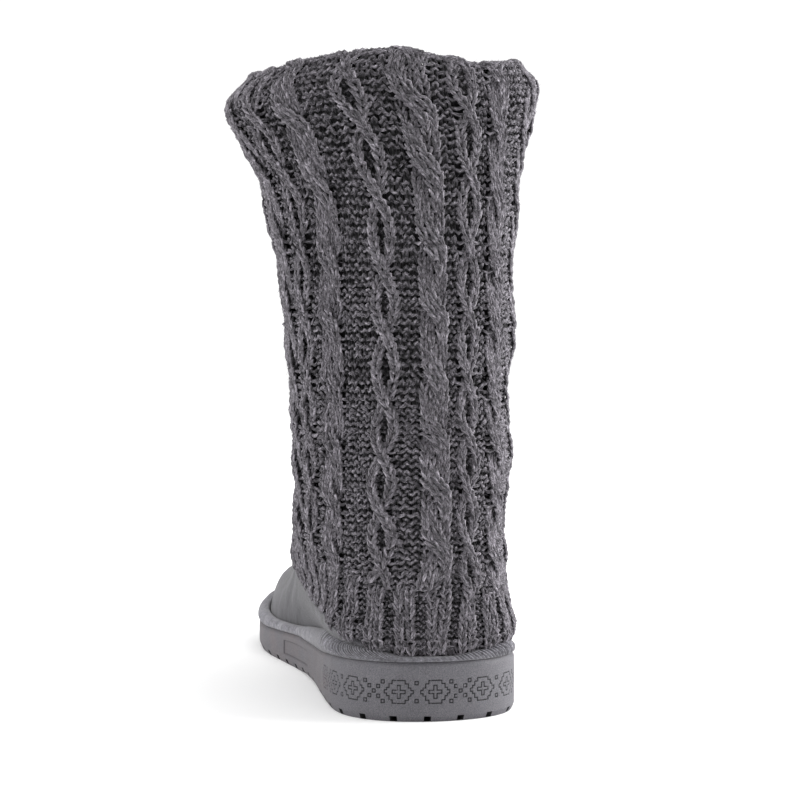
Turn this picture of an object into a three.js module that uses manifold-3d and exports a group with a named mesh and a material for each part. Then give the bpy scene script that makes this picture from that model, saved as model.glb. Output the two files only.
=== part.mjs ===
// Right mukluk boot: knit shaft, suede foot, padded edge strip, insole and moulded unit sole.
// Millimetres. Origin: centre of the heel on the ground. +Y to the toe, +Z up, +X to the lateral side.
import * as THREE from 'three';
import { mergeVertices } from 'three/addons/utils/BufferGeometryUtils.js';
import Module from 'manifold-3d';

// ------------------------------------------------------------------ driving dimensions
const HEEL_BACK = -41.0;          // rearmost point of the sole
const TOE_TIP = 229.0;            // foremost point of the sole (sole length 270)
const TOE_X = -7;                 // the toe tip leans to the big toe
const WAIST_Y = 45;               // stations of the foot's lower rings
const BALL_Y = 148;
const TOE_CAP_Y = 190;
const SIDE_Y = 35;                // where the side meridians of upper and sole start
const JOINT_GAP = 0.3;            // clearance between neighbouring pieces
const RING_COLUMNS = 72;          // columns round the upper
const SOLE_COLUMNS = 96;          // columns round the sole and its edge strip
const KNIT_WALL = 4.6;            // knit and its lining
const COLLAR_WALL = 9.4;          // knit turned in on itself at the collar
const SUEDE_WALL = 2.8;           // suede and its lining
const INSOLE_THICKNESS = 5;
const SOLE_BOTTOM_DRAFT = 1.1;    // how far the ground edge lies inside the widest line
const SOLE_TOP_DRAFT = 0.9;       // how far the upper edge lies inside the widest line
const LUG_PITCH = 14.6;           // tread notches along the lower edge
const LUG_WIDTH = 2.9;
const LUG_HEIGHT = 2.0;
const LUG_DEPTH = 11;
const VAMP_START = 4 / 72;        // share of the girth, from the back, where the suede foot begins
const VAMP_END_SETBACK = 0.0016;  // the ends of the suede foot stop short of the knit beside them

// sole outline, a row for each station along the boot
const SOLE_OUTLINE = [
  { y: -38.0, medial: 18.0, lateral: 17.6 },
  { y: -30.0, medial: 30.8, lateral: 30.2 },
  { y: -20.0, medial: 37.8, lateral: 36.8 },
  { y: -8.0, medial: 40.9, lateral: 40.3 },
  { y: 10.0, medial: 41.2, lateral: 41.8 },
  { y: 30.0, medial: 40.2, lateral: 42.8 },
  { y: 52.0, medial: 39.1, lateral: 44.4 },
  { y: 76.0, medial: 38.8, lateral: 46.9 },
  { y: 100.0, medial: 39.9, lateral: 49.6 },
  { y: 125.0, medial: 43.6, lateral: 52.2 },
  { y: 150.0, medial: 47.0, lateral: 53.6 },
  { y: 170.0, medial: 47.2, lateral: 52.8 },
  { y: 188.0, medial: 44.6, lateral: 49.2 },
  { y: 203.0, medial: 39.8, lateral: 42.6 },
  { y: 215.0, medial: 33.4, lateral: 33.2 },
  { y: 224.5, medial: 23.4, lateral: 18.6 },
];

// heights along the boot: underside, top of the rubber, and crease where the upper leaves the edge strip
const SOLE_HEIGHTS = [
  { y: -41.0, bottom: 0.0, rubber: 25.5, crease: 29.2 },
  { y: -20.0, bottom: 0.0, rubber: 25.0, crease: 28.9 },
  { y: 0.0, bottom: 0.0, rubber: 23.6, crease: 28.3 },
  { y: 20.0, bottom: 0.0, rubber: 21.2, crease: 27.6 },
  { y: 38.0, bottom: 0.0, rubber: 19.5, crease: 26.8 },
  { y: 60.0, bottom: 0.9, rubber: 18.0, crease: 25.8 },
  { y: 80.0, bottom: 0.9, rubber: 17.0, crease: 24.6 },
  { y: 100.0, bottom: 0.0, rubber: 16.4, crease: 22.6 },
  { y: 125.0, bottom: 0.0, rubber: 15.0, crease: 20.6 },
  { y: 158.0, bottom: 0.0, rubber: 13.6, crease: 19.4 },
  { y: 178.0, bottom: 0.9, rubber: 13.9, crease: 19.9 },
  { y: 200.0, bottom: 3.4, rubber: 15.6, crease: 22.2 },
  { y: 215.0, bottom: 6.1, rubber: 17.6, crease: 24.4 },
  { y: 229.0, bottom: 9.2, rubber: 20.2, crease: 27.0 },
];

// lower rings of the upper follow the sole outline; inset is measured inwards from the sole's widest line
const FOOT_RINGS = [
  { name: 'feather', heelZ: 0, waistZ: 0, ballZ: 0, toeZ: 0, heelIn: 3.6, waistIn: 3.8, ballIn: 5.4, toeIn: 6.2 },
  { name: 'crease', heelZ: 0, waistZ: 0, ballZ: 0, toeZ: 0, heelIn: 3.4, waistIn: 3.6, ballIn: 5.4, toeIn: 6.2 },
  { name: 'bulge', heelZ: 37, waistZ: 37.5, ballZ: 32, toeZ: 36, heelIn: 0.9, waistIn: -2.6, ballIn: 7.8, toeIn: 11.8 },
];

// upper rings of the upper, from the toe box over the instep to the collar
const LEG_RINGS = [
  { name: 'toe box', backZ: 48, medialZ: 48, lateralZ: 48, frontZ: 46.5, backY: -39.8, wideY: 38, frontY: 201, medial: 44.2, lateral: 42.8, backN: 2.5, frontN: 1.86 },
  { name: 'forefoot', backZ: 62, medialZ: 64, lateralZ: 64, frontZ: 60, backY: -38.8, wideY: 38, frontY: 156, medial: 48.2, lateral: 41.8, backN: 2.4, frontN: 1.95 },
  { name: 'instep', backZ: 80, medialZ: 86, lateralZ: 86, frontZ: 83, backY: -37.8, wideY: 34, frontY: 119, medial: 50.0, lateral: 41.4, backN: 2.3, frontN: 2.0 },
  { name: 'ankle', backZ: 104, medialZ: 108, lateralZ: 108, frontZ: 110, backY: -37.2, wideY: 30, frontY: 99, medial: 51.6, lateral: 44.8, backN: 2.2, frontN: 2.0 },
  { name: 'gaiter', backZ: 135, medialZ: 137, lateralZ: 137, frontZ: 140, backY: -36.0, wideY: 28, frontY: 92, medial: 53.1, lateral: 43.2, backN: 2.1, frontN: 2.0 },
  { name: 'low calf', backZ: 168, medialZ: 169, lateralZ: 169, frontZ: 171, backY: -33.5, wideY: 28, frontY: 89, medial: 56.2, lateral: 46.2, backN: 2.1, frontN: 2.0 },
  { name: 'calf', backZ: 196, medialZ: 196, lateralZ: 196, frontZ: 198, backY: -30.5, wideY: 28, frontY: 88, medial: 59.8, lateral: 46.7, backN: 2.1, frontN: 2.0 },
  { name: 'high calf', backZ: 223, medialZ: 222, lateralZ: 223, frontZ: 224, backY: -26.0, wideY: 28, frontY: 85, medial: 65.8, lateral: 48.7, backN: 2.1, frontN: 2.0 },
  { name: 'flare', backZ: 250, medialZ: 246, lateralZ: 250, frontZ: 250, backY: -18.5, wideY: 28.5, frontY: 77, medial: 76.7, lateral: 53.3, backN: 2.1, frontN: 2.0 },
  { name: 'under collar', backZ: 268, medialZ: 262, lateralZ: 268, frontZ: 267, backY: -13.0, wideY: 29, frontY: 72, medial: 82.0, lateral: 59.3, backN: 2.1, frontN: 2.0 },
  { name: 'collar', backZ: 280, medialZ: 273.5, lateralZ: 278.5, frontZ: 278, backY: -11.8, wideY: 29, frontY: 70.5, medial: 77.0, lateral: 59.0, backN: 2.1, frontN: 2.0 },
  { name: 'collar top', backZ: 288.8, medialZ: 280.8, lateralZ: 285.6, frontZ: 285.0, backY: -8.4, wideY: 29, frontY: 67, medial: 66.0, lateral: 51.5, backN: 2.1, frontN: 2.0 },
];

// height of the slanting seam between the suede foot and the knit shaft, along the boot
const SEAM = [
  { y: -45, z: 29.5 },
  { y: -30, z: 31.0 },
  { y: -16, z: 34.8 },
  { y: -2, z: 38.6 },
  { y: 14, z: 42.4 },
  { y: 32, z: 45.0 },
  { y: 52, z: 47.4 },
  { y: 72, z: 50.2 },
  { y: 92, z: 55.0 },
  { y: 112, z: 63.0 },
  { y: 130, z: 74.0 },
  { y: 150, z: 90.0 },
];

// ------------------------------------------------------------------ small maths
// smooth curve through a column of a table, with flat-limited slopes so that level stretches stay level
function tableCurve(rows, key, column) {
  const x = rows.map((r) => r[key]);
  const f = rows.map((r) => r[column]);
  const n = x.length;
  const d = [];
  for (let i = 0; i < n - 1; i++) d.push((f[i + 1] - f[i]) / (x[i + 1] - x[i]));
  const m = [d[0]];
  for (let i = 1; i < n - 1; i++) {
    m.push(d[i - 1] * d[i] <= 0 ? 0 : (2 * d[i - 1] * d[i]) / (d[i - 1] + d[i]));
  }
  m.push(d[n - 2]);
  return (q) => {
    if (q <= x[0]) return f[0];
    if (q >= x[n - 1]) return f[n - 1];
    let i = 0;
    while (q > x[i + 1]) i++;
    const h = x[i + 1] - x[i];
    const s = (q - x[i]) / h;
    const s2 = s * s;
    const s3 = s2 * s;
    return (2 * s3 - 3 * s2 + 1) * f[i] + (s3 - 2 * s2 + s) * h * m[i]
      + (-2 * s3 + 3 * s2) * f[i + 1] + (s3 - s2) * h * m[i + 1];
  };
}

const soleBottom = tableCurve(SOLE_HEIGHTS, 'y', 'bottom');
const rubberTop = tableCurve(SOLE_HEIGHTS, 'y', 'rubber');
const creaseZ = tableCurve(SOLE_HEIGHTS, 'y', 'crease');
const seamZ = tableCurve(SEAM, 'y', 'z');

// ------------------------------------------------------------------ sole outline as a loop
const loopPoints = [new THREE.Vector3(0, HEEL_BACK, 0)];
for (const r of SOLE_OUTLINE) loopPoints.push(new THREE.Vector3(-r.medial, r.y, 0));
loopPoints.push(new THREE.Vector3(TOE_X, TOE_TIP, 0));
for (const r of [...SOLE_OUTLINE].reverse()) loopPoints.push(new THREE.Vector3(r.lateral, r.y, 0));
const loopCurve = new THREE.CatmullRomCurve3(loopPoints, true, 'centripetal');
const FINE = 1440;
const fine = loopCurve.getSpacedPoints(FINE).slice(0, FINE);

function nearestIndex(test) {
  let best = 0;
  let bestValue = Infinity;
  fine.forEach((p, i) => {
    const value = test(p);
    if (value < bestValue) { bestValue = value; best = i; }
  });
  return best;
}
const BACK_INDEX = 0;
const MEDIAL_INDEX = nearestIndex((p) => (p.x < 0 ? Math.abs(p.y - SIDE_Y) : 1e9));
const TOE_INDEX = nearestIndex((p) => Math.abs(p.x - TOE_X) + (p.y < 150 ? 1e9 : 0));
const LATERAL_INDEX = nearestIndex((p) => (p.x > 0 ? Math.abs(p.y - SIDE_Y) : 1e9));
const QUARTERS = [BACK_INDEX, MEDIAL_INDEX, TOE_INDEX, LATERAL_INDEX, FINE];

// point and inward normal of the outline; girth runs 0 at the back, 1/4 medial side, 1/2 toe, 3/4 lateral side
function outlineAt(girth, inset) {
  const g = ((girth % 1) + 1) % 1;
  const q = Math.min(3, Math.floor(g * 4));
  const place = QUARTERS[q] + (g * 4 - q) * (QUARTERS[q + 1] - QUARTERS[q]);
  const i = Math.floor(place);
  const s = place - i;
  const a = fine[i % FINE];
  const b = fine[(i + 1) % FINE];
  const before = fine[(i - 3 + FINE) % FINE];
  const after = fine[(i + 4) % FINE];
  const tx = after.x - before.x;
  const ty = after.y - before.y;
  const length = Math.hypot(tx, ty);
  return {
    x: a.x + (b.x - a.x) * s + (ty / length) * inset,
    y: a.y + (b.y - a.y) * s - (tx / length) * inset,
  };
}

// ------------------------------------------------------------------ the upper's own surface
function footRing(row, girth) {
  const centre = outlineAt(girth, 0);
  const stations = [
    { y: HEEL_BACK, z: row.heelZ, inset: row.heelIn },
    { y: WAIST_Y, z: row.waistZ, inset: row.waistIn },
    { y: BALL_Y, z: row.ballZ, inset: row.ballIn },
    { y: TOE_CAP_Y, z: row.toeZ, inset: row.toeIn },
  ];
  const p = outlineAt(girth, tableCurve(stations, 'y', 'inset')(centre.y));
  if (row.name === 'feather') return new THREE.Vector3(p.x, p.y, rubberTop(centre.y) + JOINT_GAP);
  if (row.name === 'crease') return new THREE.Vector3(p.x, p.y, creaseZ(centre.y));
  return new THREE.Vector3(p.x, p.y, tableCurve(stations, 'y', 'z')(centre.y));
}

function legRing(row, girth) {
  const g = ((girth % 1) + 1) % 1;
  const angle = 2 * Math.PI * g;
  const c = Math.cos(angle);            // 1 at the back, -1 at the front
  const s = Math.sin(angle);            // 1 at the medial side, -1 at the lateral side
  const n = c > 0 ? row.backN : row.frontN;
  const alongY = Math.sign(c) * Math.abs(c) ** (2 / n);
  const acrossX = Math.sign(s) * Math.abs(s) ** (2 / n);
  const x = -acrossX * (s > 0 ? row.medial : row.lateral);
  const y = row.wideY + (c > 0 ? (row.backY - row.wideY) * alongY : (row.wideY - row.frontY) * alongY);
  const sideZ = s > 0 ? row.medialZ : row.lateralZ;
  const endZ = c > 0 ? row.backZ : row.frontZ;
  const z = sideZ * s * s + endZ * c * c;
  return new THREE.Vector3(x, y, z);
}

const RING_COUNT = FOOT_RINGS.length + LEG_RINGS.length;
const ringCache = new Map();
function ringsAt(girth) {
  const key = girth.toFixed(7);
  if (!ringCache.has(key)) {
    ringCache.set(key, [
      ...FOOT_RINGS.map((row) => footRing(row, girth)),
      ...LEG_RINGS.map((row) => legRing(row, girth)),
    ]);
  }
  return ringCache.get(key);
}

// the surface: girth round the boot, climb 0 at the sole to RING_COUNT - 1 at the collar's top
function upperPoint(girth, climb) {
  const rings = ringsAt(girth);
  const i = Math.min(RING_COUNT - 2, Math.max(0, Math.floor(climb)));
  const u = climb - i;
  const p1 = rings[i];
  const p2 = rings[i + 1];
  const p0 = i > 0 ? rings[i - 1] : p1.clone().multiplyScalar(2).sub(p2);
  const p3 = i + 2 < RING_COUNT ? rings[i + 2] : p2.clone().multiplyScalar(2).sub(p1);
  const d1 = Math.sqrt(p0.distanceTo(p1)) || 1e-3;
  const d2 = Math.sqrt(p1.distanceTo(p2)) || 1e-3;
  const d3 = Math.sqrt(p2.distanceTo(p3)) || 1e-3;
  const out = [];
  for (const k of ['x', 'y', 'z']) {
    const m1 = d2 * ((p1[k] - p0[k]) / d1 - (p2[k] - p0[k]) / (d1 + d2) + (p2[k] - p1[k]) / d2);
    const m2 = d2 * ((p2[k] - p1[k]) / d2 - (p3[k] - p1[k]) / (d2 + d3) + (p3[k] - p2[k]) / d3);
    const u2 = u * u;
    const u3 = u2 * u;
    out.push((2 * u3 - 3 * u2 + 1) * p1[k] + (u3 - 2 * u2 + u) * m1 + (-2 * u3 + 3 * u2) * p2[k] + (u3 - u2) * m2);
  }
  return new THREE.Vector3(...out);
}

function upperNormal(girth, climb) {
  const e = 1e-3;
  const around = upperPoint(girth + e, climb).sub(upperPoint(girth - e, climb));
  const low = Math.max(0, climb - 0.02);
  const high = Math.min(RING_COUNT - 1, climb + 0.02);
  const up = upperPoint(girth, high).sub(upperPoint(girth, low));
  return up.cross(around).normalize();        // points out of the boot
}

// climb at which a column crosses the seam
function seamClimb(girth) {
  let low = 0.4;
  let high = 7;
  for (let k = 0; k < 40; k++) {
    const mid = (low + high) / 2;
    const p = upperPoint(girth, mid);
    if (p.z < seamZ(p.y)) low = mid; else high = mid;
  }
  return (low + high) / 2;
}

// ------------------------------------------------------------------ mesh helpers
function geometryFrom(vertices, triangles) {
  const geometry = new THREE.BufferGeometry();
  geometry.setAttribute('position', new THREE.Float32BufferAttribute(vertices.flatMap((p) => [p.x, p.y, p.z]), 3));
  geometry.setIndex(triangles.flat());
  geometry.computeVertexNormals();
  return geometry;
}

function signedVolume(vertices, triangles) {
  let volume = 0;
  for (const [a, b, c] of triangles) {
    volume += vertices[a].dot(vertices[b].clone().cross(vertices[c]));
  }
  return volume / 6;
}

function outward(vertices, triangles) {
  return signedVolume(vertices, triangles) < 0 ? triangles.map(([a, b, c]) => [a, c, b]) : triangles;
}

// closed tube: rows of equal length, every row closed on itself, first row joined to the last
function ringSolid(rows) {
  const n = rows[0].length;
  const m = rows.length;
  const triangles = [];
  for (let r = 0; r < m; r++) {
    for (let c = 0; c < n; c++) {
      const a = r * n + c;
      const b = r * n + ((c + 1) % n);
      const d = ((r + 1) % m) * n + c;
      const e = ((r + 1) % m) * n + ((c + 1) % n);
      triangles.push([a, b, e], [a, e, d]);
    }
  }
  const vertices = rows.flat();
  return { vertices, triangles: outward(vertices, triangles) };
}

// open band of sections: every section closed on itself, ends closed by fans of strips
function bandSolid(sections) {
  const n = sections[0].length;
  const m = sections.length;
  const triangles = [];
  for (let r = 0; r < m - 1; r++) {
    for (let c = 0; c < n; c++) {
      const a = r * n + c;
      const b = r * n + ((c + 1) % n);
      const d = (r + 1) * n + c;
      const e = (r + 1) * n + ((c + 1) % n);
      triangles.push([a, e, b], [a, d, e]);
    }
  }
  const close = (base, flip) => {
    let i = 0;
    let j = n - 1;
    while (i + 1 < j) {
      const quad = [base + i, base + i + 1, base + j, base + j - 1];
      const pair = j - i > 2
        ? [[quad[0], quad[1], quad[2]], [quad[2], quad[1], quad[3]]]
        : [[quad[0], quad[1], quad[2]]];
      for (const t of pair) triangles.push(flip ? [t[0], t[2], t[1]] : t);
      i += 1;
      j -= 1;
    }
  };
  close(0, false);
  close((m - 1) * n, true);
  const vertices = sections.flat();
  return { vertices, triangles: outward(vertices, triangles) };
}

// stack of outline rings closed below and above by strips from side to side
function plateSolid(rings) {
  const n = rings[0].length;
  const m = rings.length;
  const triangles = [];
  for (let r = 0; r < m - 1; r++) {
    for (let c = 0; c < n; c++) {
      const a = r * n + c;
      const b = r * n + ((c + 1) % n);
      const d = (r + 1) * n + c;
      const e = (r + 1) * n + ((c + 1) % n);
      triangles.push([a, b, e], [a, e, d]);
    }
  }
  const cap = (base, flip) => {
    const half = n / 2;
    for (let k = 0; k < half; k++) {
      const a = base + k;
      const b = base + k + 1;
      const c = base + ((n - k) % n);
      const d = base + n - k - 1;
      const list = [];
      if (k === 0) list.push([a, d, b]);
      else if (k === half - 1) list.push([a, c, b]);
      else list.push([a, c, d], [a, d, b]);
      for (const t of list) triangles.push(flip ? [t[0], t[2], t[1]] : t);
    }
  };
  cap(0, false);
  cap((m - 1) * n, true);
  const vertices = rings.flat();
  return { vertices, triangles: outward(vertices, triangles) };
}

function columns(count) {
  return Array.from({ length: count }, (_, i) => i / count);
}

// ------------------------------------------------------------------ outsole
function soleRing(inset, height) {
  return columns(SOLE_COLUMNS).map((girth) => {
    const edge = outlineAt(girth, 0);
    const p = outlineAt(girth, inset);
    return new THREE.Vector3(p.x, p.y, height(edge.y));
  });
}

const outsoleBlock = plateSolid([
  soleRing(SOLE_BOTTOM_DRAFT, soleBottom),
  soleRing(0.15, (y) => soleBottom(y) + 2.4),
  soleRing(0, (y) => soleBottom(y) * 0.5 + rubberTop(y) * 0.5),
  soleRing(0.45, (y) => rubberTop(y) - 1.3),
  soleRing(SOLE_TOP_DRAFT, rubberTop),
]);

// ------------------------------------------------------------------ padded edge strip
const feather = FOOT_RINGS[0];
const featherInset = tableCurve([
  { y: HEEL_BACK, inset: feather.heelIn },
  { y: WAIST_Y, inset: feather.waistIn },
  { y: BALL_Y, inset: feather.ballIn },
  { y: TOE_CAP_Y, inset: feather.toeIn },
], 'y', 'inset');

// section of the strip: share of its width from the outside in, and share of its height
const STRIP_SECTION = [
  { across: 0.10, up: 0.00 },
  { across: -0.12, up: 0.30 },
  { across: -0.06, up: 0.62 },
  { across: 0.22, up: 0.92 },
  { across: 0.60, up: 1.00 },
  { across: 1.00, up: 0.86 },
  { across: 1.00, up: 0.00 },
];
const stripRows = STRIP_SECTION.map((corner) => columns(SOLE_COLUMNS).map((girth) => {
  const edge = outlineAt(girth, 0);
  const width = featherInset(edge.y) - 3.4 * JOINT_GAP;
  const low = rubberTop(edge.y) + JOINT_GAP;
  const height = creaseZ(edge.y) - low;
  const p = outlineAt(girth, corner.across * width);
  return new THREE.Vector3(p.x, p.y, low + corner.up * height);
}));
const strip = ringSolid(stripRows);

// ------------------------------------------------------------------ insole
const INSOLE_COLUMNS = 60;
function insoleRing(extra, lift) {
  return columns(INSOLE_COLUMNS).map((girth) => {
    const edge = outlineAt(girth, 0);
    const inset = featherInset(edge.y) + KNIT_WALL + 0.9 + extra;
    const p = outlineAt(girth, inset);
    return new THREE.Vector3(p.x, p.y, rubberTop(edge.y) + lift);
  });
}
const insole = plateSolid([
  insoleRing(0, JOINT_GAP),
  insoleRing(0, INSOLE_THICKNESS - 1.2),
  insoleRing(1.4, INSOLE_THICKNESS),
]);

// ------------------------------------------------------------------ suede foot
const VAMP_ROWS = 8;
const vampSections = [];
const firstColumn = Math.round(VAMP_START * RING_COLUMNS);
for (let i = firstColumn; i <= RING_COLUMNS - firstColumn; i++) {
  let girth = i / RING_COLUMNS;
  if (i === firstColumn) girth += VAMP_END_SETBACK;
  if (i === RING_COLUMNS - firstColumn) girth -= VAMP_END_SETBACK;
  const top = seamClimb(girth);
  const section = [];
  const heights = Array.from({ length: VAMP_ROWS }, (_, k) => (top * k) / (VAMP_ROWS - 1));
  for (const climb of heights) section.push(upperPoint(girth, climb));
  for (const climb of [...heights].reverse()) {
    const wall = upperNormal(girth, climb).multiplyScalar(-SUEDE_WALL);
    if (climb < 1) { wall.z = 0; wall.setLength(SUEDE_WALL); }
    section.push(upperPoint(girth, climb).add(wall));
  }
  vampSections.push(section);
}
const vamp = bandSolid(vampSections);

// ------------------------------------------------------------------ knit shaft
const SHAFT_ROWS = 23;
const INSIDE_ROWS = 17;
const SHAFT_TOP = RING_COUNT - 1;
function wallAt(climb) {
  const s = THREE.MathUtils.smoothstep(climb, SHAFT_TOP - 2.6, SHAFT_TOP - 0.9);
  return KNIT_WALL + (COLLAR_WALL - KNIT_WALL) * s;
}
const shaftRows = [];
const shaftSeam = [];
const shaftBase = columns(RING_COLUMNS).map((girth, i) => {
  const behind = i < firstColumn || i > RING_COLUMNS - firstColumn;
  shaftSeam[i] = 0;
  if (behind) return 0;
  const seam = seamClimb(girth);
  shaftSeam[i] = seam;
  const step = upperPoint(girth, seam + 0.02).distanceTo(upperPoint(girth, seam)) / 0.02;
  return seam + (1.8 * JOINT_GAP) / step;
});
for (let r = 0; r < SHAFT_ROWS; r++) {
  const share = r / (SHAFT_ROWS - 1);
  shaftRows.push(columns(RING_COLUMNS).map((girth, i) => upperPoint(girth, shaftBase[i] + (SHAFT_TOP - shaftBase[i]) * share)));
}
for (let r = INSIDE_ROWS - 1; r >= 0; r--) {
  const share = r / (INSIDE_ROWS - 1);
  shaftRows.push(columns(RING_COLUMNS).map((girth, i) => {
    const climb = shaftBase[i] + (SHAFT_TOP - shaftBase[i]) * share;
    const facing = r === 0 ? shaftSeam[i] : Math.min(climb, SHAFT_TOP - 1);
    const wall = upperNormal(girth, facing).multiplyScalar(-wallAt(climb));
    if (climb < 1) { wall.z = 0; wall.setLength(KNIT_WALL); }
    if (climb > SHAFT_TOP - 1.5) wall.z *= 0.3;
    return upperPoint(girth, climb).add(wall);
  }));
}
const shaft = ringSolid(shaftRows);

// ------------------------------------------------------------------ tread notches cut round the outsole
const wasm = await Module();
wasm.setup();

function solidFrom(geometry) {
  const bare = geometry.clone();
  bare.deleteAttribute('normal');
  bare.deleteAttribute('uv');
  const merged = mergeVertices(bare, 1e-4);
  return new wasm.Manifold(new wasm.Mesh({
    numProp: 3,
    vertProperties: Float32Array.from(merged.attributes.position.array),
    triVerts: Uint32Array.from(merged.index.array),
  }));
}

function geometryOf(solid) {
  const mesh = solid.getMesh();
  const geometry = new THREE.BufferGeometry();
  geometry.setAttribute('position', new THREE.Float32BufferAttribute(Array.from(mesh.vertProperties), 3));
  geometry.setIndex(Array.from(mesh.triVerts));
  geometry.computeVertexNormals();
  return geometry;
}

let soleSolid = solidFrom(geometryFrom(outsoleBlock.vertices, outsoleBlock.triangles));
const outlineLength = loopCurve.getLength();
const notchCount = Math.round(outlineLength / LUG_PITCH);
for (let k = 0; k < notchCount; k++) {
  const i = Math.round(((k + 0.5) / notchCount) * FINE) % FINE;
  const at = fine[i];
  const ahead = fine[(i + 4) % FINE];
  const behind = fine[(i - 4 + FINE) % FINE];
  const heading = Math.atan2(ahead.y - behind.y, ahead.x - behind.x);
  const cutter = new THREE.BoxGeometry(LUG_WIDTH, LUG_DEPTH * 2, 12);
  cutter.rotateZ(heading);
  cutter.translate(at.x, at.y, soleBottom(at.y) + LUG_HEIGHT - 6);
  soleSolid = soleSolid.subtract(solidFrom(cutter));
}

// ------------------------------------------------------------------ assembly
function piece(name, geometry, colour, roughness) {
  const mesh = new THREE.Mesh(geometry, new THREE.MeshStandardMaterial({ color: colour, roughness, metalness: 0 }));
  mesh.name = name;
  return mesh;
}

const boot = new THREE.Group();
boot.add(piece('outsole', geometryOf(soleSolid), 0x6e6d71, 0.75));
boot.add(piece('wrap_binding', geometryFrom(strip.vertices, strip.triangles), 0x7c797f, 0.9));
boot.add(piece('insole', geometryFrom(insole.vertices, insole.triangles), 0x8b8a8d, 0.95));
boot.add(piece('vamp', geometryFrom(vamp.vertices, vamp.triangles), 0x7a7a7e, 0.9));
boot.add(piece('shaft', geometryFrom(shaft.vertices, shaft.triangles), 0x5c5a5f, 0.95));

export default boot;
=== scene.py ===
# Right mukluk boot: cable-knit shaft made yarn by yarn, suede foot, gathered edge strip, moulded sole.
# Working units are millimetres in the boot's own frame; meshes are written in metres.
import math

import bpy
import numpy as np
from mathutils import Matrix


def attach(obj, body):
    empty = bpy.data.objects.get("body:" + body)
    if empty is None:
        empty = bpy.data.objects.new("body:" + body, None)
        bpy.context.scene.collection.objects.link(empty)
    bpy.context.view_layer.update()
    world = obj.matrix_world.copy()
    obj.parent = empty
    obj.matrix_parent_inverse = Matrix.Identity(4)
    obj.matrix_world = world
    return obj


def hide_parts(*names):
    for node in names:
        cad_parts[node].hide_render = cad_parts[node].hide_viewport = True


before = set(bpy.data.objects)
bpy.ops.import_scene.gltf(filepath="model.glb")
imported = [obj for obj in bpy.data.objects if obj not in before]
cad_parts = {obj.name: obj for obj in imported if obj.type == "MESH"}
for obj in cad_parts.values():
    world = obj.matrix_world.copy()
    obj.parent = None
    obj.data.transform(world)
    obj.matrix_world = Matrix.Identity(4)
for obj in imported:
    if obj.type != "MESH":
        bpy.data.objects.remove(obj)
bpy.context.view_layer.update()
scene = bpy.context.scene
rng = np.random.default_rng(7)

# ---------------------------------------------------------------- camera at the photograph's angle
camera_data = bpy.data.cameras.new("camera")
camera_data.lens = 95.985
camera_data.sensor_width = 36.0
camera = bpy.data.objects.new("camera", camera_data)
camera.location = (-0.20453, -0.91752, 0.178)
camera.rotation_euler = (math.radians(90 - 2.61), 0.0, math.radians(-12.0))
scene.collection.objects.link(camera)
scene.camera = camera

# ---------------------------------------------------------------- tables of the last and the upper
HEEL_BACK, TOE_TIP, TOE_X, SIDE_Y = -41.0, 229.0, -7.0, 35.0
GAP = 0.3
SOLE_OUTLINE = [  # station y, medial, lateral
    (-38, 18.0, 17.6), (-30, 30.8, 30.2), (-20, 37.8, 36.8), (-8, 40.9, 40.3), (10, 41.2, 41.8),
    (30, 40.2, 42.8), (52, 39.1, 44.4), (76, 38.8, 46.9), (100, 39.9, 49.6), (125, 43.6, 52.2),
    (150, 47.0, 53.6), (170, 47.2, 52.8), (188, 44.6, 49.2), (203, 39.8, 42.6), (215, 33.4, 33.2),
    (224.5, 23.4, 18.6),
]
SOLE_HEIGHTS = [  # station y, underside, top of the rubber, crease above the strip
    (-41, 0, 25.5, 29.2), (-20, 0, 25.0, 28.9), (0, 0, 23.6, 28.3), (20, 0, 21.2, 27.6),
    (38, 0, 19.5, 26.8), (60, 0.9, 18.0, 25.8), (80, 0.9, 17.0, 24.6), (100, 0, 16.4, 22.6),
    (125, 0, 15.0, 20.6), (158, 0, 13.6, 19.4), (178, 0.9, 13.9, 19.9), (200, 3.4, 15.6, 22.2),
    (215, 6.1, 17.6, 24.4), (229, 9.2, 20.2, 27.0),
]
LEG_RINGS = [  # back z, medial z, lateral z, front z, back y, widest y, front y, medial, lateral, powers
    (48, 48, 48, 46.5, -39.8, 38, 201, 44.2, 42.8, 2.5, 1.86),
    (62, 64, 64, 60, -38.8, 38, 156, 48.2, 41.8, 2.4, 1.95),
    (80, 86, 86, 83, -37.8, 34, 119, 50.0, 41.4, 2.3, 2.0),
    (104, 108, 108, 110, -37.2, 30, 99, 51.6, 44.8, 2.2, 2.0),
    (135, 137, 137, 140, -36.0, 28, 92, 53.1, 43.2, 2.1, 2.0),
    (168, 169, 169, 171, -33.5, 28, 89, 56.2, 46.2, 2.1, 2.0),
    (196, 196, 196, 198, -30.5, 28, 88, 59.8, 46.7, 2.1, 2.0),
    (223, 222, 223, 224, -26.0, 28, 85, 65.8, 48.7, 2.1, 2.0),
    (250, 246, 250, 250, -18.5, 28.5, 77, 76.7, 53.3, 2.1, 2.0),
    (268, 262, 268, 267, -13.0, 29, 72, 82.0, 59.3, 2.1, 2.0),
    (280, 273.5, 278.5, 278, -11.8, 29, 70.5, 77.0, 59.0, 2.1, 2.0),
    (288.8, 280.8, 285.6, 285.0, -8.4, 29, 67, 66.0, 51.5, 2.1, 2.0),
]
SEAM = [  # slanting seam between suede and knit: y, z
    (-45, 29.5), (-30, 31), (-16, 34.8), (-2, 38.6), (14, 42.4), (32, 45), (52, 47.4), (72, 50.2),
    (92, 55), (112, 63), (130, 74), (150, 90),
]
STATIONS = [HEEL_BACK, 45.0, 148.0, 190.0]
TOP = 14  # last ring of the outer surface


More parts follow.
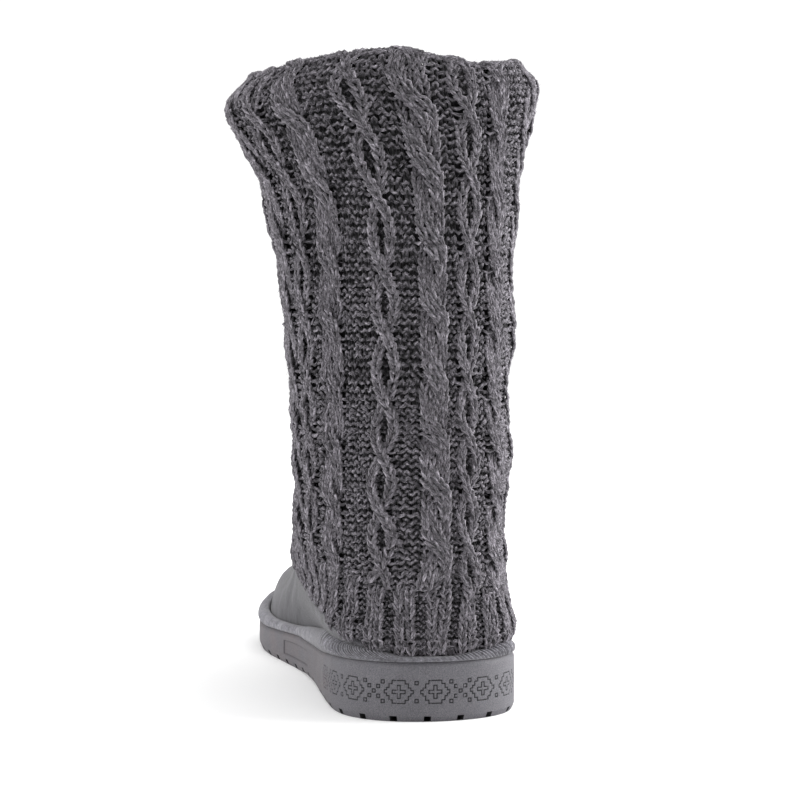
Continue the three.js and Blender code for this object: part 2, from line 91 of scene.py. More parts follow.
def hermite(xs, fs):
    x = np.array(xs, float)
    f = np.array(fs, float)
    d = np.diff(f) / np.diff(x)
    m = np.zeros(len(x))
    m[0], m[-1] = d[0], d[-1]
    for i in range(1, len(x) - 1):
        m[i] = 0 if d[i - 1] * d[i] <= 0 else 2 * d[i - 1] * d[i] / (d[i - 1] + d[i])

    def value(q):
        q = np.clip(np.asarray(q, float), x[0], x[-1])
        i = np.clip(np.searchsorted(x, q, side="left") - 1, 0, len(x) - 2)
        h = x[i + 1] - x[i]
        s = (q - x[i]) / h
        s2, s3 = s * s, s * s * s
        return (2 * s3 - 3 * s2 + 1) * f[i] + (s3 - 2 * s2 + s) * h * m[i] + (-2 * s3 + 3 * s2) * f[i + 1] + (s3 - s2) * h * m[i + 1]

    return value


def smooth(x, a, b):
    t = np.clip((np.asarray(x, float) - a) / (b - a), 0, 1)
    return t * t * (3 - 2 * t)


def unit(v):
    return v / (np.linalg.norm(v, axis=-1, keepdims=True) + 1e-12)


_h = np.array(SOLE_HEIGHTS, float)
sole_bottom, rubber_top, crease_z = (hermite(_h[:, 0], _h[:, k]) for k in (1, 2, 3))
seam_z = hermite(*zip(*SEAM))
feather_in = hermite(STATIONS, [3.6, 3.8, 5.4, 6.2])
crease_in = hermite(STATIONS, [3.4, 3.6, 5.4, 6.2])
bulge_in = hermite(STATIONS, [0.9, -2.6, 7.8, 11.8])
bulge_z = hermite(STATIONS, [37, 37.5, 32, 36])

FINE = 1440


def make_outline():
    pts = [(0, HEEL_BACK)] + [(-m, y) for y, m, _ in SOLE_OUTLINE] + [(TOE_X, TOE_TIP)]
    pts += [(l, y) for y, _, l in SOLE_OUTLINE][::-1]
    p = np.array(pts, float)
    n = len(p)
    out = []
    for i in range(n):
        p0, p1, p2, p3 = p[i - 1], p[i], p[(i + 1) % n], p[(i + 2) % n]
        d0, d1, d2 = (np.linalg.norm(b - a) ** 0.5 for a, b in ((p0, p1), (p1, p2), (p2, p3)))
        t1 = d1 * ((p1 - p0) / d0 - (p2 - p0) / (d0 + d1) + (p2 - p1) / d1)
        t2 = d1 * ((p2 - p1) / d1 - (p3 - p1) / (d1 + d2) + (p3 - p2) / d2)
        u = np.linspace(0, 1, 60, endpoint=False)[:, None]
        out.append((2 * u**3 - 3 * u**2 + 1) * p1 + (u**3 - 2 * u**2 + u) * t1 + (-2 * u**3 + 3 * u**2) * p2 + (u**3 - u**2) * t2)
    line = np.vstack(out + [out[0][:1]])
    s = np.r_[0, np.cumsum(np.linalg.norm(np.diff(line, axis=0), axis=1))]
    q = np.arange(FINE) / FINE * s[-1]
    return np.stack([np.interp(q, s, line[:, 0]), np.interp(q, s, line[:, 1])], 1), s[-1]


fine, OUTLINE_LENGTH = make_outline()
tangent = unit(np.roll(fine, -4, 0) - np.roll(fine, 3, 0))
medial_index = int(np.argmin(np.where(fine[:, 0] < 0, np.abs(fine[:, 1] - SIDE_Y), 1e9)))
toe_index = int(np.argmin(np.where(fine[:, 1] >= 150, np.abs(fine[:, 0] - TOE_X), 1e9)))
lateral_index = int(np.argmin(np.where(fine[:, 0] > 0, np.abs(fine[:, 1] - SIDE_Y), 1e9)))
QUARTERS = [0, medial_index, toe_index, lateral_index, FINE]


def outline_place(place, inset):
    """Point of the outline at a place counted in fine steps, moved inwards, and the point on the outline itself."""
    place = np.mod(place, FINE)
    i = np.floor(place).astype(int)
    s = (place - i)[..., None]
    p = fine[i % FINE] * (1 - s) + fine[(i + 1) % FINE] * s
    t = unit(tangent[i % FINE] * (1 - s) + tangent[(i + 1) % FINE] * s)
    inward = np.stack([t[..., 1], -t[..., 0]], -1)
    return p + inward * np.asarray(inset)[..., None], p, inward


def girth_arc(girth):
    """Length along the sole's outline, 0 behind, + medial, - lateral."""
    arc = np.interp(np.mod(girth, 1.0) * 4, [0, 1, 2, 3, 4], QUARTERS) / FINE * OUTLINE_LENGTH
    return np.where(arc > OUTLINE_LENGTH / 2, arc - OUTLINE_LENGTH, arc)


def girth_place(girth):
    return np.interp(np.mod(girth, 1.0) * 4, [0, 1, 2, 3, 4], QUARTERS)


def ring_table(girth):
    centre = outline_place(girth_place(girth), np.zeros_like(girth))[1]
    cy = centre[..., 1]
    out = []
    for inset, z in ((feather_in(cy), rubber_top(cy) + GAP), (crease_in(cy), crease_z(cy)), (bulge_in(cy), bulge_z(cy))):
        p = outline_place(girth_place(girth), inset)[0]
        out.append(np.concatenate([p, z[..., None]], -1))
    angle = 2 * np.pi * girth
    c, s = np.cos(angle), np.sin(angle)
    for bz, mz, lz, fz, by, wy, fy, md, lt, bn, fn in LEG_RINGS:
        n = np.where(c > 0, bn, fn)
        along = np.sign(c) * np.abs(c) ** (2 / n)
        across = np.sign(s) * np.abs(s) ** (2 / n)
        x = -across * np.where(s > 0, md, lt)
        y = wy + np.where(c > 0, (by - wy) * along, (wy - fy) * along)
        z = np.where(s > 0, mz, lz) * s * s + np.where(c > 0, bz, fz) * c * c
        out.append(np.stack([x, y, z], -1))
    return np.stack(out)


COLS = 1440
RINGS = ring_table(np.arange(COLS + 1) / COLS)


def upper(girth, climb):
    """The upper's outer surface: girth 0 back, 1/4 medial, 1/2 front, 3/4 lateral; climb 0 sole, 14 collar."""
    g = np.mod(np.asarray(girth, float), 1.0) * COLS
    i = np.minimum(np.floor(g).astype(int), COLS - 1)
    f = (g - i)[..., None]
    climb = np.asarray(climb, float)
    k = np.clip(np.floor(climb).astype(int), 0, TOP - 1)
    u = (climb - k)[..., None]

    def ring(kk):
        return RINGS[kk, i] * (1 - f) + RINGS[kk, i + 1] * f

    p1, p2 = ring(k), ring(k + 1)
    p0 = np.where((k > 0)[..., None], ring(np.maximum(k - 1, 0)), 2 * p1 - p2)
    p3 = np.where((k < TOP - 1)[..., None], ring(np.minimum(k + 2, TOP)), 2 * p2 - p1)
    d1, d2, d3 = (np.sqrt(np.linalg.norm(b - a, axis=-1))[..., None] + 1e-6 for a, b in ((p0, p1), (p1, p2), (p2, p3)))
    m1 = d2 * ((p1 - p0) / d1 - (p2 - p0) / (d1 + d2) + (p2 - p1) / d2)
    m2 = d2 * ((p2 - p1) / d2 - (p3 - p1) / (d2 + d3) + (p3 - p2) / d3)
    u2, u3 = u * u, u * u * u
    return (2 * u3 - 3 * u2 + 1) * p1 + (u3 - 2 * u2 + u) * m1 + (-2 * u3 + 3 * u2) * p2 + (u3 - u2) * m2


def upper_normal(girth, climb):
    e = 2e-3
    around = upper(girth + e, climb) - upper(girth - e, climb)
    up = upper(girth, np.minimum(climb + 0.03, TOP)) - upper(girth, np.maximum(climb - 0.03, 0))
    return unit(np.cross(up, around))


# level table: climb at which each column reaches a height
LEVEL_COLS = 361
_lg = np.linspace(0, 1, LEVEL_COLS)
_lc = np.linspace(0, TOP, 421)
_lz = upper(*np.meshgrid(_lg, _lc))[..., 2]
LEVELS = np.linspace(14, 289, 552)
CLIMB_AT = np.stack([np.interp(LEVELS, np.maximum.accumulate(_lz[:, k]) + np.arange(421) * 1e-9, _lc) for k in range(LEVEL_COLS)], 1)


def bilinear(table, r, c):
    r = np.clip(r, 0, table.shape[0] - 1.001)
    c = np.clip(c, 0, table.shape[1] - 1.001)
    i, j = np.floor(r).astype(int), np.floor(c).astype(int)
    a, b = r - i, c - j
    return (table[i, j] * (1 - a) + table[i + 1, j] * a) * (1 - b) + (table[i, j + 1] * (1 - a) + table[i + 1, j + 1] * a) * b


def climb_at(girth, z):
    return bilinear(CLIMB_AT, (z - LEVELS[0]) / (LEVELS[1] - LEVELS[0]), np.mod(girth, 1.0) * (LEVEL_COLS - 1))


_sg = np.linspace(0, 1, 721)
_low, _high = np.full(721, 0.4), np.full(721, 7.0)
for _ in range(34):
    _mid = (_low + _high) / 2
    _p = upper(_sg, _mid)
    _under = _p[:, 2] < seam_z(_p[:, 1])
    _low, _high = np.where(_under, _mid, _low), np.where(_under, _high, _mid)
SEAM_CLIMB = (_low + _high) / 2
SEAM_Z = upper(_sg, SEAM_CLIMB)[:, 2]


def covered(girth):
    """1 where the hem hangs down to the edge strip and hides the suede: behind and on the lateral corner of the heel."""
    arc = girth_arc(girth)
    return np.where(arc < 0, smooth(arc, -104, -62), np.where(arc < 22.3, 1.0, 0.0))


def hem_line(girth):
    """Lower edge of the knit."""
    return np.interp(np.mod(girth, 1.0), _sg, SEAM_Z) * (1 - covered(girth)) + 26.6 * covered(girth)


def seam_climb(girth):
    return np.interp(np.mod(girth, 1.0), _sg, SEAM_CLIMB)


# ---------------------------------------------------------------- mesh helper
def mesh_object(name, verts, faces, material, attributes=None, smooth_shade=True, body="root"):
    """faces: list of arrays of quads or triangles; attributes: {name: (type, values)} on the points."""
    mesh = bpy.data.meshes.new(name)
    verts = np.asarray(verts, np.float32) * 0.001
    loops = np.concatenate([np.asarray(f, np.int32).ravel() for f in faces])
    sizes = np.concatenate([np.full(len(f), np.asarray(f).shape[1], np.int32) for f in faces])
    starts = np.r_[0, np.cumsum(sizes)[:-1]].astype(np.int32)
    mesh.vertices.add(len(verts))
    mesh.vertices.foreach_set("co", verts.ravel())
    mesh.loops.add(len(loops))
    mesh.loops.foreach_set("vertex_index", loops)
    mesh.polygons.add(len(sizes))
    mesh.polygons.foreach_set("loop_start", starts)
    mesh.update(calc_edges=True)
    mesh.validate()
    if smooth_shade:
        mesh.polygons.foreach_set("use_smooth", np.ones(len(mesh.polygons), bool))
    for key, (kind, values) in (attributes or {}).items():
        layer = mesh.attributes.new(key, kind, "POINT")
        field = "vector" if kind == "FLOAT_VECTOR" else "value"
        layer.data.foreach_set(field, np.asarray(values, np.float32).ravel())
    mesh.materials.append(material)
    obj = bpy.data.objects.new(name, mesh)
    scene.collection.objects.link(obj)
    if body:
        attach(obj, body)
    return obj


def grid_faces(rows, cols, wrap_cols=True, wrap_rows=False, flip=False):
    r = np.arange(rows if wrap_rows else rows - 1)
    c = np.arange(cols if wrap_cols else cols - 1)
    rr, cc = np.meshgrid(r, c, indexing="ij")
    r2, c2 = (rr + 1) % rows, (cc + 1) % cols
    q = np.stack([rr * cols + cc, rr * cols + c2, r2 * cols + c2, r2 * cols + cc], -1).reshape(-1, 4)
    return q[:, ::-1] if flip else q


# ---------------------------------------------------------------- material helper
class Nodes:
    def __init__(self, name):
        self.material = bpy.data.materials.new(name)
        self.material.use_nodes = True
        self.tree = self.material.node_tree
        self.tree.nodes.clear()
        self.out = self.add("ShaderNodeOutputMaterial")
        self.bsdf = self.add("ShaderNodeBsdfPrincipled")
        self.link(self.bsdf.outputs["BSDF"], self.out.inputs["Surface"])

    def add(self, kind, **values):
        node = self.tree.nodes.new(kind)
        for key, value in values.items():
            if key in node.inputs:
                node.inputs[key].default_value = value
            else:
                setattr(node, key, value)
        return node

    def link(self, a, b):
        self.tree.links.new(a, b)

    def attribute(self, name):
        return self.add("ShaderNodeAttribute", attribute_name=name)

    def position(self):
        return self.add("ShaderNodeTexCoord").outputs["Object"]

    def scaled(self, vector, scale):
        node = self.add("ShaderNodeVectorMath", operation="MULTIPLY")
        self.link(vector, node.inputs[0])
        node.inputs[1].default_value = scale
        return node.outputs[0]

    def noise(self, vector, scale, detail=2.0, rough=0.5, distortion=0.0):
        node = self.add("ShaderNodeTexNoise", Scale=scale, Detail=detail, Roughness=rough, Distortion=distortion)
        self.link(vector, node.inputs["Vector"])
        return node.outputs["Fac"]

    def ramp(self, value, stops):
        node = self.add("ShaderNodeValToRGB")
        elements = node.color_ramp.elements
        while len(elements) < len(stops):
            elements.new(0.5)
        for element, (at, colour) in zip(elements, stops):
            element.position = at
            element.color = (*colour, 1) if len(colour) == 3 else colour
        self.link(value, node.inputs["Fac"])
        return node.outputs["Color"]

    def mix(self, fac, a, b, mode="MIX"):
        node = self.add("ShaderNodeMix", data_type="RGBA", blend_type=mode)
        for socket, value in ((node.inputs[0], fac), (node.inputs[6], a), (node.inputs[7], b)):
            if hasattr(value, "links"):
                self.link(value, socket)
            elif isinstance(value, tuple):
                socket.default_value = (*value, 1) if len(value) == 3 else value
            else:
                socket.default_value = value
        return node.outputs[2]

    def math(self, operation, a, b=0.0, clamp=False):
        node = self.add("ShaderNodeMath", operation=operation, use_clamp=clamp)
        for socket, value in ((node.inputs[0], a), (node.inputs[1], b)):
            if hasattr(value, "links"):
                self.link(value, socket)
            else:
                socket.default_value = value
        return node.outputs[0]

    def bump(self, height, strength, distance):
        node = self.add("ShaderNodeBump", Strength=strength, Distance=distance)
        self.link(height, node.inputs["Height"])
        if self.bsdf.inputs["Normal"].links:
            self.link(self.bsdf.inputs["Normal"].links[0].from_socket, node.inputs["Normal"])
        self.link(node.outputs["Normal"], self.bsdf.inputs["Normal"])

    def set(self, **values):
        for key, value in values.items():
            self.bsdf.inputs[key.replace("_", " ")].default_value = value


def grey(v, warm=0.0):
    """A near-neutral grey, a little violet as the yarn is; warm shifts it."""
    return (v * (1.0 + warm), v * 0.935, v * (1.045 - warm))


def cool(v):
    """The cooler, slate grey of the suede and the rubber."""
    return (v, v * 0.978, v * 1.085)


def yarn_material():
    n = Nodes("knit_yarn")
    yarn = n.attribute("yarn").outputs["Vector"]      # millimetres along, and round the yarn
    streak = n.noise(n.scaled(yarn, (0.34, 1.55, 1.55)), 1.0, 4.0, 0.72)
    coarse = n.noise(n.scaled(yarn, (0.10, 0.5, 0.5)), 1.0, 2.0, 0.5)
    mixed = n.math("ADD", n.math("MULTIPLY", streak, 0.80), n.math("MULTIPLY", coarse, 0.20))
    colour = n.ramp(mixed, [
        (0.36, grey(0.018)), (0.45, grey(0.072)), (0.52, grey(0.172)), (0.595, grey(0.32)), (0.67, grey(0.62)),
    ])
    # painted shade: the yarn's colour is darkened deep between the stitches and kept full on their crowns
    shade_by_depth = n.attribute("shade_by_depth").outputs["Fac"]       # 1 on the crowns of the stitches, 0 deep between them
    shade = n.ramp(shade_by_depth, [(0.0, (0.032, 0.032, 0.034)), (0.26, (0.31, 0.31, 0.315)), (0.52, (1.00, 1.00, 1.005)), (0.80, (1.02, 1.02, 1.02)), (1.0, (0.95, 0.95, 0.95))])
    n.link(n.mix(1.0, colour, shade, "MULTIPLY"), n.bsdf.inputs["Base Color"])
    n.bump(streak, 0.9, 0.00035)
    n.set(Roughness=0.95, Sheen_Weight=0.14, Sheen_Roughness=0.6, Specular_IOR_Level=0.1)
    return n.material


def fuzz_material():
    n = Nodes("knit_fibre")
    value = n.noise(n.position(), 900.0, 2.0, 0.6)
    n.link(n.ramp(value, [(0.35, grey(0.10)), (0.65, grey(0.55))]), n.bsdf.inputs["Base Color"])
    n.set(Roughness=1.0, Specular_IOR_Level=0.1)
    return n.material


# painted shade: a near-black sheet behind the yarn, so that the gaps between the stitches read dark
def backing_shade_material():
    n = Nodes("knit_backing_shade")
    p = n.position()
    value = n.noise(p, 700.0, 2.0, 0.6)
    n.link(n.ramp(value, [(0.3, grey(0.010)), (0.7, grey(0.035))]), n.bsdf.inputs["Base Color"])
    n.bump(value, 0.5, 0.0003)
    n.set(Roughness=1.0, Specular_IOR_Level=0.1)
    return n.material


def lining_material():
    n = Nodes("brushed_lining")
    p = n.position()
    pile = n.noise(p, 1500.0, 3.0, 0.7)
    tuft = n.noise(p, 260.0, 3.0, 0.6)
    mottle = n.noise(p, 40.0, 2.0, 0.5)
    both = n.math("ADD", n.math("MULTIPLY", pile, 0.5), n.math("MULTIPLY", tuft, 0.5))
    colour = n.ramp(both, [(0.34, grey(0.10)), (0.5, grey(0.19)), (0.66, grey(0.30))])
    n.link(n.mix(0.25, colour, n.ramp(mottle, [(0.3, grey(0.12)), (0.7, grey(0.27))])), n.bsdf.inputs["Base Color"])
    n.bump(tuft, 0.8, 0.0012)
    n.bump(pile, 0.7, 0.0005)
    n.set(Roughness=1.0, Sheen_Weight=0.4, Sheen_Roughness=0.5, Specular_IOR_Level=0.1)
    return n.material


def suede_material(name, base, stretch):
    n = Nodes(name)
    p = n.position()
    nap = n.noise(p, 1500.0, 3.0, 0.75)
    brushed = n.noise(n.scaled(p, stretch), 1.0, 3.0, 0.6, 0.5)
    stroke = n.noise(n.scaled(p, (170.0, 170.0, 36.0)), 1.0, 4.0, 0.6, 0.8)
    mottle = n.noise(p, 38.0, 3.0, 0.55, 0.4)
    colour = n.ramp(nap, [(0.30, cool(base * 0.62)), (0.5, cool(base)), (0.70, cool(base * 1.48))])
    for value, low, high in ((brushed, 0.70, 1.30), (stroke, 0.74, 1.28), (mottle, 0.84, 1.16)):
        colour = n.mix(1.0, colour, n.ramp(value, [(0.30, (low, low, low)), (0.70, (high, high, high))]), "MULTIPLY")
    # painted shade and painted highlight from the shade attribute, with the nap's own strokes: below 0.75 the colour is
    # darkened, above it lightened
    dust_and_shade = n.attribute("shade").outputs["Fac"]
    colour = n.mix(1.0, colour, n.ramp(dust_and_shade, [(0.0, (0.16, 0.16, 0.17)), (0.75, (1.0, 1.0, 1.0)), (1.0, (1.55, 1.55, 1.55))]), "MULTIPLY")
    n.link(colour, n.bsdf.inputs["Base Color"])
    n.bump(brushed, 0.45, 0.0005)
    n.bump(nap, 0.65, 0.00026)
    n.link(n.ramp(mottle, [(0.3, (0.86, 0.86, 0.86)), (0.7, (0.97, 0.97, 0.97))]), n.bsdf.inputs["Roughness"])
    n.set(Sheen_Weight=0.35, Sheen_Roughness=0.45, Specular_IOR_Level=0.2)
    return n.material


def rubber_material():
    n = Nodes("moulded_rubber")
    p = n.position()
    grain = n.noise(p, 2300.0, 3.0, 0.7)
    cloud = n.noise(p, 55.0, 3.0, 0.55)
    streak = n.noise(n.scaled(p, (60.0, 60.0, 420.0)), 1.0, 2.0, 0.5)
    colour = n.ramp(grain, [(0.30, cool(0.056)), (0.5, cool(0.134)), (0.70, cool(0.232))])
    colour = n.mix(0.35, colour, n.ramp(cloud, [(0.32, cool(0.100)), (0.68, cool(0.146))]))
    dust = n.noise(p, 90.0, 4.0, 0.65)
    dusty = n.math("MULTIPLY", n.attribute("dust_and_shade").outputs["Fac"], n.ramp(dust, [(0.36, (0.15, 0.15, 0.15)), (0.62, (1.0, 1.0, 1.0))]))
    colour = n.mix(n.math("MULTIPLY", dusty, 0.75), colour, n.ramp(grain, [(0.30, (0.082, 0.072, 0.076)), (0.70, (0.235, 0.208, 0.218))]))
    # painted shade: the colour is darkened in the frieze's cuts, the notches, the panel's border, the joint under the
    # strip and the underside grooves
    groove_shade = n.attribute("groove_shade").outputs["Fac"]
    colour = n.mix(1.0, colour, n.ramp(groove_shade, [(0.0, (1.0, 1.0, 1.0)), (0.55, (0.24, 0.24, 0.25)), (1.0, (0.07, 0.07, 0.075))]), "MULTIPLY")
    n.link(colour, n.bsdf.inputs["Base Color"])
    n.link(n.ramp(cloud, [(0.3, (0.56, 0.56, 0.56)), (0.7, (0.70, 0.70, 0.70))]), n.bsdf.inputs["Roughness"])
    n.bump(streak, 0.10, 0.0003)
    n.bump(grain, 0.55, 0.00014)
    n.set(Specular_IOR_Level=0.38)
    return n.material


YARN, FUZZ, BACKING_SHADE, LINING = yarn_material(), fuzz_material(), backing_shade_material(), lining_material()
SUEDE = suede_material("foot_suede", 0.088, (820.0, 820.0, 120.0))
STRIP = suede_material("strip_suede", 0.165, (520.0, 520.0, 520.0))
RUBBER = rubber_material()

# ---------------------------------------------------------------- chart of the knit
WALES = 120
INNER_ROWS = 6
RIM_ROWS = 5
OUTER_ROWS = 81
ROWS = OUTER_ROWS + RIM_ROWS + INNER_ROWS
SAMPLES = 8
CROSS = 8                     # rows between two crossings
# centre wale of each four-stitch figure: a pair of travelling stitches, or a two-over-two rope
CHAINS = [0, 13, 26, 46, 59, 72, 92, -15]
ROPES = [7, 19, 40, 52, 66, 78, -9, -21]
CHAINS, ROPES = [0, 13, -15], [7, 19, -9, -21]
_at = 21
for gap, kind in ((5, "c"), (5, "r"), (2, "c"), (2, "r"), (5, "c"), (5, "r"), (2, "c"), (2, "r"), (6, "c")):
    _at += gap
    (CHAINS if kind == "c" else ROPES).append(_at + 2)
    _at += 4

# height of every eighth row at the back, where the middle pair of travelling stitches crosses
ROW_Z = hermite([0, 16, 24, 32, 40, 48, 56, 64, 72, 81], [25.0, 66.5, 89.7, 113.6, 136.1, 165.0, 191.2, 224.2, 255.6, 286.7])
ROW_OF_CROSSING = 24.0

# girth at which some wales lie, for a few heights: the columns lean and spread as they climb
GUIDE_Z = [38, 44, 50, 54, 60, 68, 92, 128, 172, 224, 256, 280]
GUIDES = {
    -21: [0.262, 0.2500, 0.2450, 0.2430, 0.2480, 0.249, 0.246, 0.241, 0.231, 0.219, 0.229, 0.238],
    -15: [0.212, 0.2150, 0.2130, 0.2090, 0.2060, 0.205, 0.201, 0.196, 0.186, 0.167, 0.172, 0.183],
    -9: [0.163, 0.1780, 0.1830, 0.1790, 0.1660, 0.156, 0.150, 0.143, 0.136, 0.121, 0.122, 0.140],
    0: [0.0745, 0.0850, 0.0920, 0.0890, 0.0790, 0.072, 0.074, 0.068, 0.061, 0.057, 0.058, 0.076],
    7: [0.0133, 0.0121, 0.0111, 0.0107, 0.0060, 0.001, 0.001, 0.005, 0.003, 0.004, 0.008, 0.018],
    13: [-0.038, -0.0407, -0.0446, -0.0462, -0.0430, -0.040, -0.040, -0.045, -0.046, -0.051, -0.052, -0.040],
    19: [-0.087, -0.1000, -0.1120, -0.1130, -0.1050, -0.100, -0.108, -0.106, -0.102, -0.104, -0.100, -0.092],
}
_guide_w = sorted(GUIDES)
_zs = np.linspace(20, 290, 136)
_ws = np.linspace(-60, 180, 1921)
_rows = []
for zz in _zs:
    gs = [-float(hermite(GUIDE_Z, GUIDES[w])(zz)) for w in _guide_w]
    xs, fs = [], []
    for turn in (-1, 0, 1, 2):
        xs += [w + WALES * turn for w in _guide_w]
        fs += [g + turn for g in gs]
    _rows.append(hermite(xs, fs)(_ws))
GIRTH_OF = np.array(_rows)


def bearings(girth, z):
    """Bearing round the leg's middle, growing from the back through the lateral side."""
    p = upper(girth, climb_at(girth, np.full_like(girth, z)))
    return np.unwrap(np.arctan2(p[:, 0], 28.0 - p[:, 1]))


# low down, the wales of the lateral side and the front go straight on from where they are at z 80
_bg = np.linspace(0.02, 1.02, 721)
_own = (_ws >= 18) & (_ws <= 100)
_home = bearings(1 - GIRTH_OF[30][_own], 80.0)
_share = smooth(_ws[_own], 19, 27) * (1 - smooth(_ws[_own], 90, 99))
for _k in range(30):
    _angle = bearings(1 - _bg, float(_zs[_k]))
    _straight = np.interp(_home, _angle, _bg)
    GIRTH_OF[_k][_own] += (_straight - GIRTH_OF[_k][_own]) * _share


def girth_of(wale, z):
    wale = np.mod(wale + 40, WALES) - 40
    return -bilinear(GIRTH_OF, (z - 20) / 2.0, (wale + 60) * 8.0)


# height at which the ribbed hem gives way to the cables, round the girth
RIB_TOP = hermite([-0.5, -0.42, -0.3, -0.2, -0.1, 0.0, 0.08, 0.13, 0.17, 0.22, 0.31, 0.40, 0.5],
                  [100, 88, 70, 59, 53, 55.5, 58, 59.5, 62, 65, 69, 85, 100])
TOP_Z = hermite([0, 0.25, 0.5, 0.75, 1.0], [288.8, 280.8, 285.0, 285.6, 288.8])
# the worn collar sags between the ear beside the calf and the middle of the back
SAG = hermite([-0.5, -0.24, -0.18, -0.14, -0.10, -0.08, -0.04, 0, 0.02, 0.05, 0.13, 0.18, 0.24, 0.32, 0.42, 0.5],
              [0, 0, 0.3, 1.7, 3.7, 5.0, 4.2, 2.4, 0.2, -0.9, -0.2, 1.9, 2.4, 1.4, 0, 0])


def top_level(girth):
    return TOP_Z(np.mod(girth, 1.0)) - SAG(np.mod(girth + 0.5, 1.0) - 0.5)


# ropes, chains and ground: rise of the yarn's centre over the boot's stated surface
RISE_GROUND, RISE_ROPE, RISE_CHAIN, RISE_LENS, RISE_RIB, RISE_RIB_GROUND = -2.0, -0.95, -0.8, -2.7, -1.0, -2.4
ROPE_SWING, CHAIN_SWING = 1.3, 0.75

# soft pushes of the leg: girth, height, half-width round (mm), half-height (mm), rise
PUSHES = [
    (-0.20, 167, 26, 9, 0.5), (-0.20, 189, 26, 11, -1.6), (-0.20, 112, 24, 13, -0.7), (-0.17, 137, 22, 12, -1.2),
    (-0.20, 90, 24, 10, -0.6), (0.25, 237, 34, 13, -3.0),
    (0.27, 196, 26, 16, -0.7), (0.5, 120, 42, 12, -2.4), (0.5, 145, 46, 11, 1.2), (0.42, 104, 26, 9, -1.6),
    (-0.42, 104, 26, 9, -1.6), (0.5, 172, 50, 12, -1.2), (0.10, 214, 20, 16, -0.8), (0.03, 148, 18, 12, 0.5),
    (0.30, 92, 24, 9, -1.0), (-0.32, 92, 24, 9, -1.0),
]


def pushes(girth, z):
    total = np.zeros(np.broadcast(girth, z).shape)
    for g0, z0, wide, high, rise in PUSHES:
        dg = np.mod(girth - g0 + 0.5, 1.0) - 0.5
        total += rise * np.exp(-((dg * 358 / wide) ** 2) - ((z - z0) / high) ** 2)
    return total


slot = np.arange(WALES) - 40                     # wales counted from the middle pair at the back
kind = np.zeros(WALES, int)                      # 0 ground, 1 rope, 2 chain
place = np.zeros(WALES, int)                     # 0..3 inside a figure
middle = np.zeros(WALES)
for centres, number in ((ROPES, 1), (CHAINS, 2)):
    for centre in centres:
        for k in range(4):
            i = (centre - 2 + k + 40) % WALES
            kind[i], place[i] = number, k
            middle[i] = centre + (WALES if centre - 2 + k < -40 else 0) - (WALES if centre - 2 + k >= 80 else 0)
RIB_KNIT = np.isin(np.mod(slot, 4), (0, 3))
CHAIN_CENTRES = np.array(sorted(set(CHAINS) | {c + WALES for c in CHAINS} | {c - WALES for c in CHAINS}), float)
phase = np.zeros(WALES)
for n_, centre in enumerate(ROPES):
    for k in range(4):
        phase[(centre - 2 + k + 40) % WALES] = {7: 3.2, 19: 0.6, -9: 1.4, -21: 4.4}.get(centre, 1.7 * n_ % 8)
for n_, centre in enumerate(CHAINS):
    for k in range(4):
        phase[(centre - 2 + k + 40) % WALES] = {0: 0.0, 13: 2.6, -15: 3.4}.get(centre, 2.3 * n_ % 8)


def slot_state(i, j, v, rib):
    """Centre (wales), rise, side (1 knit, -1 purl) and width of slot i worked in row j, looked at from height v (rows)."""
    k, q = kind[i], place[i]
    theta = np.pi * (v - ROW_OF_CROSSING - phase[i]) / CROSS + np.pi / 2
    theta_j = np.pi * (j - ROW_OF_CROSSING - phase[i]) / CROSS + np.pi / 2
    sgn = np.where(np.cos(theta_j) >= 0, 1.0, -1.0)
    left = np.where(q < 2, -1.0, 1.0)
    home = slot[i] + 0.5
    # rope: two strands of two wales that wind round each other
    turn = np.tanh(1.7 * np.cos(theta)) / np.tanh(1.7)
    swell = 0.47 * (1 + 0.62 * np.sin(theta) ** 4)
    rope_x = middle[i] + left * sgn * turn + np.where(q % 2 == 0, -swell, swell)
    rope_e = RISE_ROPE + left * sgn * ROPE_SWING * np.sin(theta)
    # chain: two single wales that travel apart and cross, with ground between them
    lens = np.sqrt(np.cos(theta) ** 2 + 0.06)
    outer = (q == 0) | (q == 3)
    chain_x = middle[i] + np.where(outer, left * sgn * 1.42 * np.cos(theta), left * 0.5 * lens)
    chain_e = np.where(outer, RISE_CHAIN + left * sgn * CHAIN_SWING * np.sin(theta), RISE_LENS)
    # ground beside a chain is drawn in where the chain is narrow
    near = CHAIN_CENTRES[np.argmin(np.abs(home[..., None] - CHAIN_CENTRES), -1)]
    away = home - near
    pull = np.clip((5.0 - np.abs(away)) / 2.6, 0, 1) * (1 - np.sqrt(np.cos(np.pi * (v - ROW_OF_CROSSING) / CROSS + np.pi / 2) ** 2 + 0.02))
    ground_x = home - np.sign(away) * 0.75 * np.clip(pull, 0, 1)
    x = np.where(k == 1, rope_x, np.where(k == 2, chain_x, ground_x))
    e = np.where(k == 1, rope_e, np.where(k == 2, chain_e, RISE_GROUND))
    side = np.where((k == 1) | ((k == 2) & outer), 1.0, -1.0)
    width = np.where(k == 1, 2 * swell, np.where(k == 2, np.where(outer, 1.62, lens), 1.0))
    rib_knit = RIB_KNIT[i]
    rib_e = np.where(rib_knit, RISE_RIB, RISE_RIB_GROUND)
    rib_x = home + np.array([0.15, 0.13, -0.13, -0.15])[np.mod(slot[i], 4)]
    x = x * (1 - rib) + rib_x * rib
    e = e * (1 - rib) + rib_e * rib
    side = np.where(rib > 0.5, np.where(rib_knit, 1.0, -1.0), side)
    width = width * (1 - rib) + rib * np.where(rib_knit, 1.30, 0.70)
    return x, e, side, width


RIM_DROP = 2.1                # the outer face ends this far under the top, where the rim begins to turn


